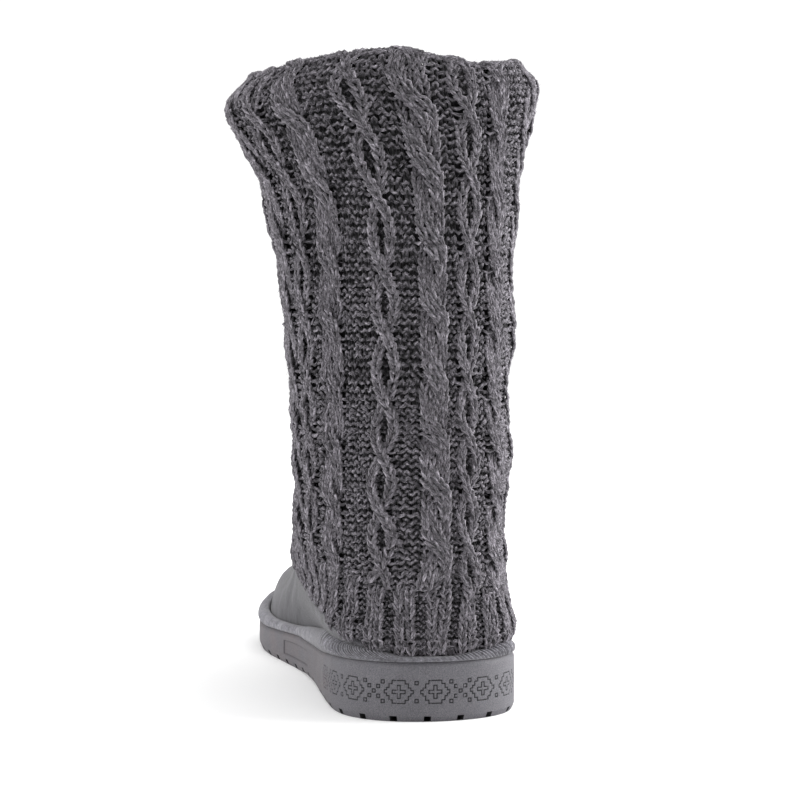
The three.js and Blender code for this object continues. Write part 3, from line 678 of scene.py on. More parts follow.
def fold_over(girth, beyond):
    """Point and outward normal beyond the collar's top: over the rim, then down the inside. beyond is 0..1 rim, 1..2 inside."""
    top = upper(girth, climb_at(girth, top_level(girth) - RIM_DROP))
    out = upper_normal(girth, np.full_like(girth, TOP - 1.0)).copy()
    out[..., 2] = 0
    out = unit(out)
    up = np.zeros_like(out)
    up[..., 2] = 1
    half = 4.3
    centre = top - out * half
    angle = np.clip(beyond, 0, 1) * np.pi
    rim = centre + out * (half * np.cos(angle))[..., None] + up * (3.4 * np.sin(angle))[..., None]
    normal = unit(out * np.cos(angle)[..., None] + up * np.sin(angle)[..., None])
    down = np.clip(beyond - 1, 0, 1)[..., None]
    # the inside follows the leg's taper for the depth of the turned-in hem
    low = upper(girth, np.full_like(girth, TOP - 1.9))
    inside_top = centre - out * half
    inside_low = low - unit(out) * 9.6
    inside_low[..., 2] = inside_top[..., 2] - 22.0
    point = np.where(beyond[..., None] <= 1, rim, inside_top * (1 - down) + inside_low * down)
    normal = np.where(beyond[..., None] <= 1, normal, -out)
    return point, normal


def knit_surface(wale, v, rise):
    """Maps wales, rows and rise (mm) to a point of the boot; also the outward normal and the girth."""
    z0 = ROW_Z(np.minimum(v, OUTER_ROWS))
    girth = girth_of(wale, z0)
    top = top_level(girth)
    z = z0 + (top - 288.8) * smooth(z0, 200, 286.7)
    climb = np.clip(climb_at(girth, z), 0, TOP)
    point = upper(girth, climb)
    normal = upper_normal(girth, climb)
    over = v > OUTER_ROWS
    beyond = np.where(v < OUTER_ROWS + RIM_ROWS, (v - OUTER_ROWS) / RIM_ROWS, 1 + (v - OUTER_ROWS - RIM_ROWS) / INNER_ROWS)
    fold_point, fold_normal = fold_over(girth, np.clip(beyond, 0, 2))
    t = smooth(v, OUTER_ROWS - 1.5, OUTER_ROWS + 0.5)[..., None]
    normal = np.where(over[..., None], unit(normal * (1 - t) + fold_normal * t), normal)
    point = np.where(over[..., None], fold_point, point)
    rise = rise + pushes(girth, z)
    return point + normal * rise[..., None], normal, girth, z


def build_knit():
    j = np.arange(ROWS)[:, None, None].astype(float)
    i = np.arange(WALES)[None, :, None]
    s = np.arange(SAMPLES)[None, None, :]
    i, j, s = np.broadcast_arrays(i, j, s)
    phi = -np.pi + 2 * np.pi * s / SAMPLES
    home_z = ROW_Z(np.minimum(j, OUTER_ROWS))
    home_girth = girth_of(slot[i] + 0.5, home_z)
    rib_top = RIB_TOP(np.mod(home_girth + 0.5, 1.0) - 0.5)
    rib = 1 - smooth(home_z, rib_top - 4.0, rib_top + 4.0)
    # every stitch is a little different
    stitch = (ROWS, WALES, 1)
    jitter_x = rng.normal(0, 0.09, stitch)
    jitter_v = rng.normal(0, 0.09, stitch)
    jitter_e = rng.normal(0, 0.24, stitch)
    fat = 1 + rng.normal(0, 0.08, stitch)
    knit_here = np.where(rib > 0.5, RIB_KNIT[i], (kind[i] == 1) | ((kind[i] == 2) & ((place[i] == 0) | (place[i] == 3))))
    spread = np.where(knit_here, 0.29, 0.14)

    def state(ii, ph):
        knit = slot_state(ii, j, j, rib)[2]
        tall = np.where(knit > 0, 0.86 + 0.10 * rib, 0.76)
        flat = np.where(knit > 0, 0.0, 0.05)
        v = j + tall * (np.cos(ph) - flat * np.cos(3 * ph)) / (1 - flat)
        x, e, side, width = slot_state(ii, j, v, rib)
        local = ph / (2 * np.pi) + spread * np.sin(2 * ph)
        return x + local * width, v, e, side

    x, v, e, side = state(i, phi)
    previous = (i - 1) % WALES
    xp, vp, ep, sp = state(previous, np.full_like(phi, np.pi))
    xp = np.where(i == 0, xp - WALES, xp)
    edge = s == 0
    x = np.where(edge, (x + xp) / 2, x)
    e = np.where(edge, (e + ep) / 2, e)
    side = np.where(edge, (side + sp) / 2, side)
    swing = np.where(knit_here, 0.80, 1.00)
    plump = np.where(knit_here, 0.25, 0.02)
    rise = e + swing * (plump - side * np.cos(2 * phi) - plump * np.cos(4 * phi))
    x = x + jitter_x * np.abs(np.sin(phi / 2 + np.pi / 2))
    crown = np.abs(np.sin(phi / 2 + np.pi / 2))
    v = v + jitter_v + crown * (rng.normal(0, 0.15, stitch) + 0.10 * np.sin(slot[i] * 2.4 + 0.7)) * np.where(knit_here, 0.3, 1.0)
    v = v + np.sin(phi) * rng.normal(0, 0.12, stitch) * np.where(knit_here, 0.4, 1.0)
    rise = rise + jitter_e + crown * rng.normal(0, 0.22, stitch) * np.where(knit_here, 0.4, 1.0)
    arc_here = girth_arc(home_girth)
    over_seam = home_z - hem_line(home_girth)
    rise = rise + smooth(-over_seam, -9.0, -1.0) * np.where(home_girth < 0, 0.45, 0.75)
    heel = smooth(arc_here, -62, -40) * smooth(-arc_here, -40, -24)
    rise = rise + heel * (1.5 * np.exp(-((home_z - 31.5) / 3.4) ** 2) - 2.0 * smooth(-home_z, -28.6, -26.4))
    collar = smooth(j, OUTER_ROWS - 7, OUTER_ROWS + 1)
    rise = rise * (1 - 0.55 * collar) - 1.35 * 0.55 * collar
    v = np.clip(v, -0.4, ROWS - 1.0)
    point, normal, girth, z = knit_surface(x, v, rise)
    # stitches under the slanting seam, and under the strip at the back, are left out
    limit = hem_line(girth) - 1.9
    crease = crease_z(outline_place(girth_place(girth), np.zeros_like(girth))[1][..., 1]) - 3.0
    limit = np.maximum(limit, crease)
    keep = (point[..., 2] > limit) | (v > 40)
    chain_here = (kind[i] == 2) & (rib < 0.5) & knit_here
    radius = fat * np.where(chain_here, 0.90, np.where(knit_here, 0.81, 0.76)) * (1 - 0.09 * rib)
    # painted shade by depth: 1 on the crowns of the stitches, 0 deep between them
    shade_by_depth = smooth(rise, -3.2, -0.2)
    n_ring = WALES * SAMPLES
    shape = (ROWS, n_ring)
    point, normal = point.reshape(*shape, 3), normal.reshape(*shape, 3)
    keep, radius, shade_by_depth = keep.reshape(shape), radius.reshape(shape), shade_by_depth.reshape(shape)
    tang = unit(np.roll(point, -1, 1) - np.roll(point, 1, 1))
    side_v = unit(np.cross(tang, normal))
    up_v = np.cross(side_v, tang)
    step = np.linalg.norm(np.roll(point, -1, 1) - point, axis=-1)
    along = np.cumsum(step, 1) - step
    along = along + rng.uniform(0, 400, (ROWS, 1))
    # a kept point needs both neighbours, and its tube shrinks to nothing at a cut end
    neighbours = keep & np.roll(keep, 1, 1) & np.roll(keep, -1, 1)
    radius = np.where(neighbours, radius, 0.02)
    sides = 4
    theta = 2 * np.pi * np.arange(sides) / sides
    ring = (point[:, :, None, :]
            + up_v[:, :, None, :] * (radius[:, :, None] * np.cos(theta))[..., None] * 0.94
            + side_v[:, :, None, :] * (radius[:, :, None] * np.sin(theta))[..., None] * 1.06)
    twist = theta[None, None, :] + (along * 0.55)[:, :, None]
    coordinate = np.stack([
        np.broadcast_to(along[:, :, None], twist.shape), 0.72 * np.cos(twist), 0.72 * np.sin(twist)], -1)
    # painted shade: darker deep between the stitches, and darker on each yarn's sides than on its outward face
    painted_shade = np.broadcast_to(shade_by_depth[:, :, None], twist.shape) * (0.50 + 0.50 * np.cos(theta))[None, None, :]
    groups = [(0, 26), (26, 48), (48, 70), (70, ROWS)]
    names = ["shaft_knit_hem", "shaft_knit_ankle", "shaft_knit_calf", "shaft_knit_collar"]
    made = []
    for (a, b), name in zip(groups, names):
        faces = []
        base = 0
        verts, coords, painted_shades = [], [], []
        for row in range(a, b):
            c = np.arange(n_ring)
            c2 = (c + 1) % n_ring
            live = keep[row][c] & keep[row][c2]
            c, c2 = c[live], c2[live]
            if len(c) == 0:
                continue
            for q in range(sides):
                q2 = (q + 1) % sides
                faces.append(np.stack([base + c * sides + q, base + c * sides + q2, base + c2 * sides + q2, base + c2 * sides + q], 1))
            verts.append(ring[row].reshape(-1, 3))
            coords.append(coordinate[row].reshape(-1, 3))
            painted_shades.append(painted_shade[row].ravel())
            base += n_ring * sides
        verts, faces = np.concatenate(verts), np.concatenate(faces)
        coords, painted_shades = np.concatenate(coords), np.concatenate(painted_shades)
        used = np.unique(faces)
        order = np.full(len(verts), -1)
        order[used] = np.arange(len(used))
        made.append(mesh_object(name, verts[used], [order[faces]], YARN, {
            "yarn": ("FLOAT_VECTOR", coords[used]), "shade_by_depth": ("FLOAT", painted_shades[used])}))
    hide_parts("shaft")
    return made, point, normal, tang, neighbours, rise.reshape(shape)


knit_objects, knit_point, knit_normal, knit_tangent, knit_keep, knit_rise = build_knit()


def build_fuzz(count):
    """Loose fibre ends: thin closed spikes that leave the yarn nearly along it."""
    rows, ring = knit_keep.shape
    ok = np.flatnonzero(knit_keep.ravel() & (knit_rise.ravel() > -2.0))
    pick = rng.choice(ok, count, replace=False)
    p = knit_point.reshape(-1, 3)[pick]
    n = knit_normal.reshape(-1, 3)[pick]
    t = knit_tangent.reshape(-1, 3)[pick]
    b = unit(np.cross(t, n))
    a = rng.uniform(-1.2, 1.2, count)
    base = p + (n * np.cos(a)[:, None] + b * np.sin(a)[:, None]) * 0.62
    out = n * np.cos(a)[:, None] + b * np.sin(a)[:, None]
    way = unit(t * rng.choice([-1.0, 1.0], count)[:, None] + out * rng.uniform(0.10, 0.75, count)[:, None] + rng.normal(0, 0.22, (count, 3)))
    length = rng.gamma(3.2, 0.55, count)[:, None] + 0.8
    sidew = unit(np.cross(way, out))
    lift = unit(np.cross(sidew, way))
    r = rng.uniform(0.045, 0.075, count)[:, None]
    v0 = base + sidew * r
    v1 = base - sidew * r
    v2 = base + lift * r
    tip = base + way * length + out * (length * rng.uniform(-0.1, 0.2, count)[:, None])
    verts = np.stack([v0, v1, v2, tip], 1).reshape(-1, 3)
    k = np.arange(count)[:, None] * 4
    tris = np.concatenate([k + np.array([[0, 2, 1]]), k + np.array([[0, 1, 3]]), k + np.array([[1, 2, 3]]), k + np.array([[2, 0, 3]])])
    obj = mesh_object("shaft_knit_fibres", verts, [tris], FUZZ, smooth_shade=False)
    return obj


build_fuzz(22000)


# ---------------------------------------------------------------- backing and lining of the shaft
def build_lining():
    cols = 160
    girth = np.arange(cols) / cols
    outer, inner = [], []
    for share in np.linspace(0, 1, 44):
        climb = climb_at(girth, top_level(girth) - 4.0) * share
        p = upper(girth, climb)
        n = upper_normal(girth, climb)
        flat = n.copy()
        flat[:, 2] *= float(smooth(share, 0.02, 0.14))
        flat = unit(flat)
        push = pushes(girth, p[:, 2])
        outer.append(p + flat * (-3.55 + push)[:, None])
        wall = 4.6 + 4.4 * float(smooth(climb.mean(), TOP - 3.4, TOP - 1.4))
        inner.append(p + flat * (-wall + push * 0.6)[:, None])
    # inside above the turned-in hem's lower edge the lining stops behind the knit
    rows = outer + inner[::-1]
    verts = np.concatenate(rows)
    faces = grid_faces(len(rows), cols, True, True)
    obj = mesh_object("shaft_lining", verts, [faces], LINING)
    obj.data.materials.append(BACKING_SHADE)
    index = np.zeros(len(obj.data.polygons), np.int32)
    # the outer sheet, just behind the knit, takes the near-black painted shade
    index[: 43 * cols] = 1
    obj.data.polygons.foreach_set("material_index", index)
    return obj


build_lining()


# ---------------------------------------------------------------- suede foot
def build_vamp():
    cols, rows = 360, 26
    begin, end = 4 / 72 + 0.0016, 68 / 72 - 0.0016
    girth = np.linspace(begin, end, cols)
    tops = seam_climb(girth) + 0.05
    outer, inner = [], []
    for share in np.linspace(0, 1, rows):
        climb = tops * share
        p = upper(girth, climb)
        n = upper_normal(girth, climb)
        y, z = p[:, 1], p[:, 2]
        x = p[:, 0]
        # faint vertical draws above the strip, a dip across the break of the toes
        draw = 0.10 * np.sin(girth * 2 * np.pi * 61 + 2.1 * np.sin(girth * 23)) * np.exp(-share / 0.22)
        flex = -0.9 * np.exp(-(((y - 132) + 0.16 * np.abs(x)) / 5.0) ** 2) * smooth(share, 0.25, 0.7)
        flex += 0.5 * np.exp(-(((y - 141) + 0.16 * np.abs(x)) / 6.0) ** 2) * smooth(share, 0.25, 0.7)
        flex += -0.6 * np.exp(-(((y - 116) + 0.20 * np.abs(x)) / 5.0) ** 2) * smooth(share, 0.35, 0.8)
        sunk = 3.7 * covered(girth)
        rise = draw + flex - sunk
        outer.append(p + n * rise[:, None])
        flat = n.copy()
        if share < 0.08:
            flat[:, 2] = 0
            flat = unit(flat)
        inner.append(p - flat * (2.6 + sunk)[:, None])
    rows_all = outer + inner[::-1]
    verts = np.concatenate(rows_all)
    m = len(rows_all)
    faces = [grid_faces(m, cols, False, True)]
    caps = []
    for column, flip in ((0, False), (cols - 1, True)):
        for r in range(rows - 1):
            a, b = r * cols + column, (r + 1) * cols + column
            c, d = (m - 1 - r) * cols + column, (m - 2 - r) * cols + column
            quad = [a, b, d, c]
            caps.append(quad[::-1] if not flip else quad)
    faces.append(np.array(caps))
    share_all = np.concatenate([np.full(cols, s) for s in list(np.linspace(0, 1, rows)) + list(np.linspace(0, 1, rows))[::-1]])
    # painted shade: darker at the foot of the suede above the strip, and just under the knit's hem at its top
    shade = 0.25 + 0.50 * smooth(share_all, 0.0, 0.05)
    shade = shade * (1 - 0.35 * smooth(share_all, 0.955, 1.0))
    # painted shade in a soft band over the medial waist; the nap lies darker in faint upright strokes all round
    arc_all = np.tile(girth_arc(girth), m)
    band = np.exp(-((arc_all - (166 - 1.86 * (verts[:, 2] - 28))) / 12.0) ** 2)
    strokes = np.sin(arc_all * 0.93 + 2 * np.sin(arc_all * 0.21)) * np.sin(arc_all * 0.37 + 0.6) + 0.6 * np.sin(arc_all * 2.3 + verts[:, 2] * 0.08)
    shade = shade * (1 - 0.17 * band * (arc_all > 0) + 0.045 * strokes)
    obj = mesh_object("foot_suede", verts, faces, SUEDE, {"shade": ("FLOAT", shade)})
    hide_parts("vamp")
    return obj


build_vamp()


# ---------------------------------------------------------------- padded edge strip
def build_strip():
    # columns stand closer where the strip is pulled into pleats; arc is + medial, - lateral, 0 at the back
    spots = np.linspace(-OUTLINE_LENGTH / 2, OUTLINE_LENGTH / 2, 6001)
    dense = 1 / (0.47 - 0.22 * smooth(spots, -80, -55) * (1 - smooth(spots, 84, 112)))
    run = np.r_[0, np.cumsum((dense[1:] + dense[:-1]) / 2 * np.diff(spots))]
    cols = 1780
    arc = np.interp(np.arange(cols) / cols * run[-1], run, spots)
    # pleats: fine and leaning at the medial heel, broader at the lateral corner, faint elsewhere
    amount = (0.34 * np.exp(-((arc - 40) / 24) ** 4) + 0.42 * np.exp(-((arc - 62) / 20) ** 4) + 0.72 * np.exp(-((arc + 32) / 21) ** 4)
              + 0.14 * np.exp(-((arc - 205) / 40) ** 2) + 0.16 * np.exp(-((arc + 215) / 60) ** 2)
              + 0.24 * np.exp(-((np.abs(arc) - 318) / 42) ** 2) + 0.06)
    pitch = np.interp(arc, [-20, 4, 24, 34, 46, 60, 84, 120], [2.15, 1.7, 1.6, 1.95, 2.9, 4.6, 4.4, 2.2]) * (1 + 0.10 * np.sin(arc / 9.7))
    gathered = hermite([-330, 0, 15, 26, 40, 56, 80, 100, 125, 150, 175, 205, 240, 330],
                       [1, 1, 1.05, 1.15, 1.42, 1.72, 1.70, 1.40, 1.08, 0.86, 0.74, 0.80, 1, 1])
    phase_ = np.cumsum(2 * np.pi / pitch * np.gradient(arc))
    wave = np.sin(phase_ + 0.8 * np.sin(arc / 5.1)) + 0.30 * np.sin(phase_ * 0.57 + 1.7)
    vary = 0.72 + 0.28 * np.sin(arc / 3.3 + 2.0 * np.sin(arc / 11.0))
    sweep = np.where(arc > 0, 2.5 + 9.0 * (1 - smooth(arc, 24, 64)) * smooth(arc, -2, 16), 2.5) + 2.5 * smooth(-arc, 6, 26) * smooth(arc, -70, -50)
    wobble = 0.25 * np.sin(arc / 17.0) + 0.18 * np.sin(arc / 7.3 + 1.0)
    # share across from the outside in, share up
    section = [(0.16, 0.0), (0.00, 0.08), (-0.08, 0.18), (-0.12, 0.30), (-0.13, 0.42), (-0.11, 0.54), (-0.06, 0.65),
               (0.02, 0.75), (0.12, 0.84), (0.25, 0.91), (0.42, 0.97), (0.62, 1.0), (0.86, 1.0), (1.0, 0.95), (1.0, 0.0), (0.6, 0.0)]
    rows = []
    shades = []
    for across, up in section:
        here = arc + sweep * up * (across < 1.0)          # a pleat climbs along the strip as it climbs the strip
        place_ = np.mod(here, OUTLINE_LENGTH) / OUTLINE_LENGTH * FINE
        y = outline_place(place_, np.zeros(cols))[1][:, 1]
        width = feather_in(y) - 0.75
        low = rubber_top(y) + 0.12
        hidden = smooth(here, -18, -5) * smooth(-here, -30, -15)
        corner = np.exp(-((here + 38) / 13) ** 2)
        height = (crease_z(y) - low) * (1 - 0.42 * hidden + 0.55 * corner) * gathered(here)
        belly = 1.5 * smooth(here, 20, 56) * (1 - smooth(here, 92, 128)) * np.sin(np.pi * np.clip(up, 0, 1))
        live = np.sin(np.pi * np.clip((up - 0.02) / 1.25 + 0.06, 0, 1))
        out = amount * vary * wave * live
        fold = 0.9 * np.exp(-((here - 160) / 7.0) ** 2) * np.sin(np.pi * min(1.0, up + 0.2))
        inset = across * width - out * (1 if across < 0.9 else 0) - wobble * 0.35 * live + fold * 0.6 - belly
        p = outline_place(place_, inset)[0]
        z = low + up * height * (1 + 0.05 * wobble) + out * 0.6 * (up > 0.3)
        rows.append(np.concatenate([p, z[:, None]], 1))
        # painted shade and painted highlight: darker at the foot of the strip and under its top inner edge, darker in
        # the pleats' troughs, lighter on their crests and along the medial side further forward
        foot = 0.25 + 0.35 * np.exp(-((here + 5) / 42) ** 2)
        base = foot + (1 - foot) * float(smooth(up, 0.0, 0.14)) if across < 0.5 else float(1 - 0.6 * smooth(across, 0.86, 1.0))
        gather = np.clip(amount / 0.36, 0, 1.3) * (0.35 + 0.75 * smooth(up, 0.2, 0.85))
        crease = np.clip(-wave * vary, 0, 1.2) * gather
        crest = np.clip(wave * vary, 0, 1.2) * gather
        light = 0.74 + 0.16 * smooth(here, 90, 150) * (1 - smooth(here, 200, 260))
        shades.append(np.clip(base * (light - 0.74 * crease + 0.30 * crest), 0, 1))
    verts = np.concatenate(rows)
    faces = grid_faces(len(rows), cols, True, True, flip=True)
    obj = mesh_object("edge_strip", verts, [faces], STRIP, {"shade": ("FLOAT", np.concatenate(shades))})
    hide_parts("wrap_binding")
    return obj


build_strip()

# ---------------------------------------------------------------- moulded sole
CELL = 0.35                    # pitch of the chart for the stepped-cross frieze, mm
FRIEZE_Z = 12.9


def frieze_chart(columns_count, rows_count, centre_column):
    """Chart of grooves: 1 where the wall is cut. Drawn by rule from a few rectangles, round the columns the caller
    gives; centre_column is not used.
    """
    chart = np.zeros((rows_count, columns_count))
    mid = rows_count // 2

    def dot(c, r):
        if 0 <= c < columns_count and 0 <= r < rows_count:
            chart[r, c] = 1

    def box(c0, r0, half_w, half_h):
        for c in range(c0 - half_w, c0 + half_w + 1):
            dot(c, r0 - half_h), dot(c, r0 + half_h)
        for r in range(r0 - half_h, r0 + half_h + 1):
            dot(c0 - half_w, r), dot(c0 + half_w, r)

    def stepped(c0, r0, steps):
        """outline of a figure symmetrical both ways, from half-widths and half-heights, widest first"""
        corners = []
        for w, h in steps:
            corners.append((w, h))
        for sx in (-1, 1):
            for sy in (-1, 1):
                last_h = 0
                for n_, (w, h) in enumerate(corners):
                    for r in range(last_h, h + 1):
                        dot(c0 + sx * w, r0 + sy * r)
                    nxt = corners[n_ + 1][0] if n_ + 1 < len(corners) else 0
                    for c in range(nxt, w + 1):
                        dot(c0 + sx * c, r0 + sy * h)
                    last_h = h

    def medallion(c0):
        stepped(c0, mid, [(18, 2), (15, 5), (12, 10), (8, 14)])
        stepped(c0, mid, [(8, 2), (2, 8)])

    def pair(c0):
        box(c0, mid - 11, 2, 2), box(c0, mid + 11, 2, 2)

    def nine(c0):
        box(c0, mid, 2, 2)
        for sx in (-1, 1):
            for sy in (-1, 1):
                box(c0 + sx * 6, mid + sy * 6, 2, 2)
                box(c0 + sx * 12, mid + sy * 12, 2, 2)

    return chart, medallion, pair, nine


def build_outsole():
    # the frieze runs from medial waist to lateral waist round the heel; arc is 0 at the back, + medial
    reach = 101.5
    half = int(reach / CELL)
    fine_arcs = np.arange(-half, half + 1) * CELL
    chart, medallion, pair, nine = frieze_chart(2 * half + 1, 31, half)
    # medallions stand 15.8 mm apart across a pair of squares and 22.2 mm apart across nine squares
    arcs = {"m": [], "p": [], "n": []}
    at = 18.6
    arcs["m"].append(at)
    here, wide = at, True
    while here < reach - 24:
        gap = 22.2 if wide else 15.8
        arcs["n" if wide else "p"].append(here + gap / 2)
        here += gap
        arcs["m"].append(here)
        wide = not wide
    here, wide = at, False
    while here > -reach + 24:
        gap = 22.2 if wide else 15.8
        arcs["n" if wide else "p"].append(here - gap / 2)
        here -= gap
        arcs["m"].append(here)
        wide = not wide
    for key, draw in (("m", medallion), ("p", pair), ("n", nine)):
        for value in arcs[key]:
            draw(int(round(value / CELL)) + half)

    count = int(round(OUTLINE_LENGTH / 14.6))
    notch_arcs = np.mod(6.2 + np.arange(count) / count * OUTLINE_LENGTH, OUTLINE_LENGTH)
    notch_arcs = np.where(notch_arcs > OUTLINE_LENGTH / 2, notch_arcs - OUTLINE_LENGTH, notch_arcs)
    coarse = np.arange(-OUTLINE_LENGTH / 2, OUTLINE_LENGTH / 2, 2.4)
    coarse = coarse[np.abs(coarse) > half * CELL + 1.2]
    edges = []
    for a in notch_arcs:
        edges += [a - 1.56, a - 1.50, a - 1.42, a + 1.42, a + 1.50, a + 1.56]
    panel = (139.5, 186.5)
    for a in panel:
        edges += [a - 0.35, a - 0.1, a + 0.1, a + 0.35]
    arc = np.unique(np.round(np.concatenate([fine_arcs, coarse, np.array(edges)]), 3))
    arc = arc[(arc >= -OUTLINE_LENGTH / 2) & (arc < OUTLINE_LENGTH / 2)]
    keep_ = np.r_[True, np.diff(arc) > 0.045]
    arc = arc[keep_]
    cols = len(arc)
    place_ = np.mod(arc / OUTLINE_LENGTH * FINE, FINE)
    y = outline_place(place_, np.zeros(cols))[1][:, 1]
    bottom, top = sole_bottom(y), rubber_top(y)
    in_notch = (np.abs(arc[:, None] - notch_arcs[None, :]) < 1.46).any(1)

    frieze_half = 15 * CELL
    centre = np.where(np.abs(arc) < 110, np.minimum(FRIEZE_Z, (bottom + top) / 2 + 0.6), (bottom + top) / 2 + 0.4)
    scale = np.clip((top - bottom - 6.6) / (2 * frieze_half), 0.3, 1.0)
    rows = []          # (height, extra inset, groove share)
    chart_col = np.clip(np.round(arc / CELL).astype(int) + half, 0, 2 * half)
    on_grid = np.abs(arc / CELL - np.round(arc / CELL)) < 0.02
    live = (np.abs(arc) < half * CELL - 0.5) & on_grid
    fade = smooth(96.0 - np.abs(arc + 3.0), 0.0, 12.0)

    def profile(z):
        """inset of the wall at a height: drawn in at the ground edge and at the top edge"""
        t = (z - bottom)
        down = top - z
        return 1.1 * (1 - smooth(t, 0.0, 2.8)) ** 1.5 + 0.95 * (1 - smooth(down, 0.0, 2.2)) ** 1.6

    def wall_row(z, extra=None, groove_shade=None):
        extra = np.zeros(cols) if extra is None else extra
        groove_shade = np.zeros(cols) if groove_shade is None else groove_shade
        p = outline_place(place_, profile(z) + extra)[0]
        rows.append((np.concatenate([p, z[:, None]], 1), groove_shade))

    notch = np.where(in_notch, 11.0, 0.0)
    # painted shade inside the notches
    notch_shade = np.where((np.abs(arc[:, None] - notch_arcs[None, :]) < 1.53).any(1), 1.0, 0.0)
    wall_row(bottom)
    wall_row(bottom + 0.08)
    wall_row(bottom + 0.10, np.where(in_notch, 0.25, 0.0), notch_shade)
    wall_row(bottom + 0.14, notch, notch_shade)
    wall_row(bottom + 1.2, notch, notch_shade)
    wall_row(bottom + 2.40, notch, notch_shade)
    wall_row(bottom + 2.44, np.zeros(cols), notch_shade)
    wall_row(bottom + 2.52, np.zeros(cols), np.zeros(cols))
    low_line = centre - frieze_half * scale
    for share in (0.35, 0.7):
        wall_row(bottom + 2.52 + (low_line - CELL - bottom - 2.52) * share)
    in_panel = (arc > panel[0]) & (arc < panel[1])
    panel_edge = np.minimum(np.abs(arc - panel[0]), np.abs(arc - panel[1])) < 0.2
    for r in range(-1, 32):
        z = centre + (r - 15) * CELL * scale
        if 0 <= r <= 30:
            cut = np.where(live, chart[r, chart_col], 0.0) * fade
        else:
            cut = np.zeros(cols)
        inner = in_panel & (r > 3) & (r < 27)
        border = (in_panel & ((r == 4) | (r == 26))) | (panel_edge & (r > 3) & (r < 27))
        extra = cut * 0.62 + np.where(inner, 0.55, 0.0) + np.where(border & in_panel, 0.25, 0.0)
        # painted shade: the frieze's cuts and the panel's border are painted darker
        wall_row(z, extra, np.clip(cut + np.where(border, 0.22, 0.0), 0, 1))
    high_line = centre + frieze_half * scale + CELL * scale
    for share in (0.4, 0.75):
        wall_row(high_line + (top - 2.2 - high_line) * share)
    wall_row(top - 2.2)
    wall_row(top - 1.4)
    wall_row(top - 0.8)
    wall_row(top - 0.35)
    wall_row(top - 0.08, np.full(cols, 0.12))
    # painted shade along the joint under the strip, fainter at the back
    wall_row(top, np.full(cols, 0.55), 0.24 - 0.20 * np.exp(-((arc + 5) / 42) ** 2))
    # top face: inwards to the middle line
    for inset in (3.0, 12.0, 24.0):
        p = outline_place(place_, np.full(cols, inset))[0]
        rows.append((np.concatenate([p, top[:, None]], 1), np.zeros(cols)))
    # the inner rings are pulled on to the middle line so that the plate closes
    axis_y = np.clip(y, HEEL_BACK + 30, TOE_TIP - 34)
    lateral_mid = np.interp(axis_y, [r[0] for r in SOLE_OUTLINE], [(r[2] - r[1]) / 2 for r in SOLE_OUTLINE])
    p = np.stack([lateral_mid, axis_y, top], 1)
    rows.append((p, np.zeros(cols)))
    # underside rings, from the ground edge inwards
    under = []
    # painted shade: darker in the underside's grooves, slightly darker on its flats
    for inset, lift, g in ((13.0, 0.0, 0.1), (15.0, 1.6, 0.8), (16.2, 1.6, 0.8), (17.6, 0.0, 0.1), (24.0, 0.0, 0.1), (25.4, 1.4, 0.8), (26.8, 1.4, 0.8), (28.2, 0.0, 0.1)):
        q = outline_place(place_, np.full(cols, inset))[0]
        under.append((np.concatenate([q, (bottom + lift)[:, None]], 1), np.full(cols, g)))
    q = np.stack([lateral_mid, axis_y, sole_bottom(axis_y) + 0.0], 1)
    under.append((q, np.zeros(cols)))
    rows = under[::-1] + rows
    verts = np.concatenate([r[0] for r in rows])
    groove_shade = np.concatenate([r[1] for r in rows])
    dust_and_shade = np.tile(0.12 + 0.88 * smooth(arc, 48, 92) * (1 - smooth(arc, 215, 260)), len(rows))
    faces = grid_faces(len(rows), cols, True, False)
    # the two closing seams down the middle line meet there; their points are not merged
    obj = mesh_object("sole_unit", verts, [faces[:, ::-1]], RUBBER, {"groove_shade": ("FLOAT", groove_shade), "dust_and_shade": ("FLOAT", dust_and_shade)})
    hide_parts("outsole")
    print("outsole columns", cols, "rows", len(rows), "triangles", 2 * cols * len(rows))
    return obj


sole = build_outsole()

# ---------------------------------------------------------------- padded insole


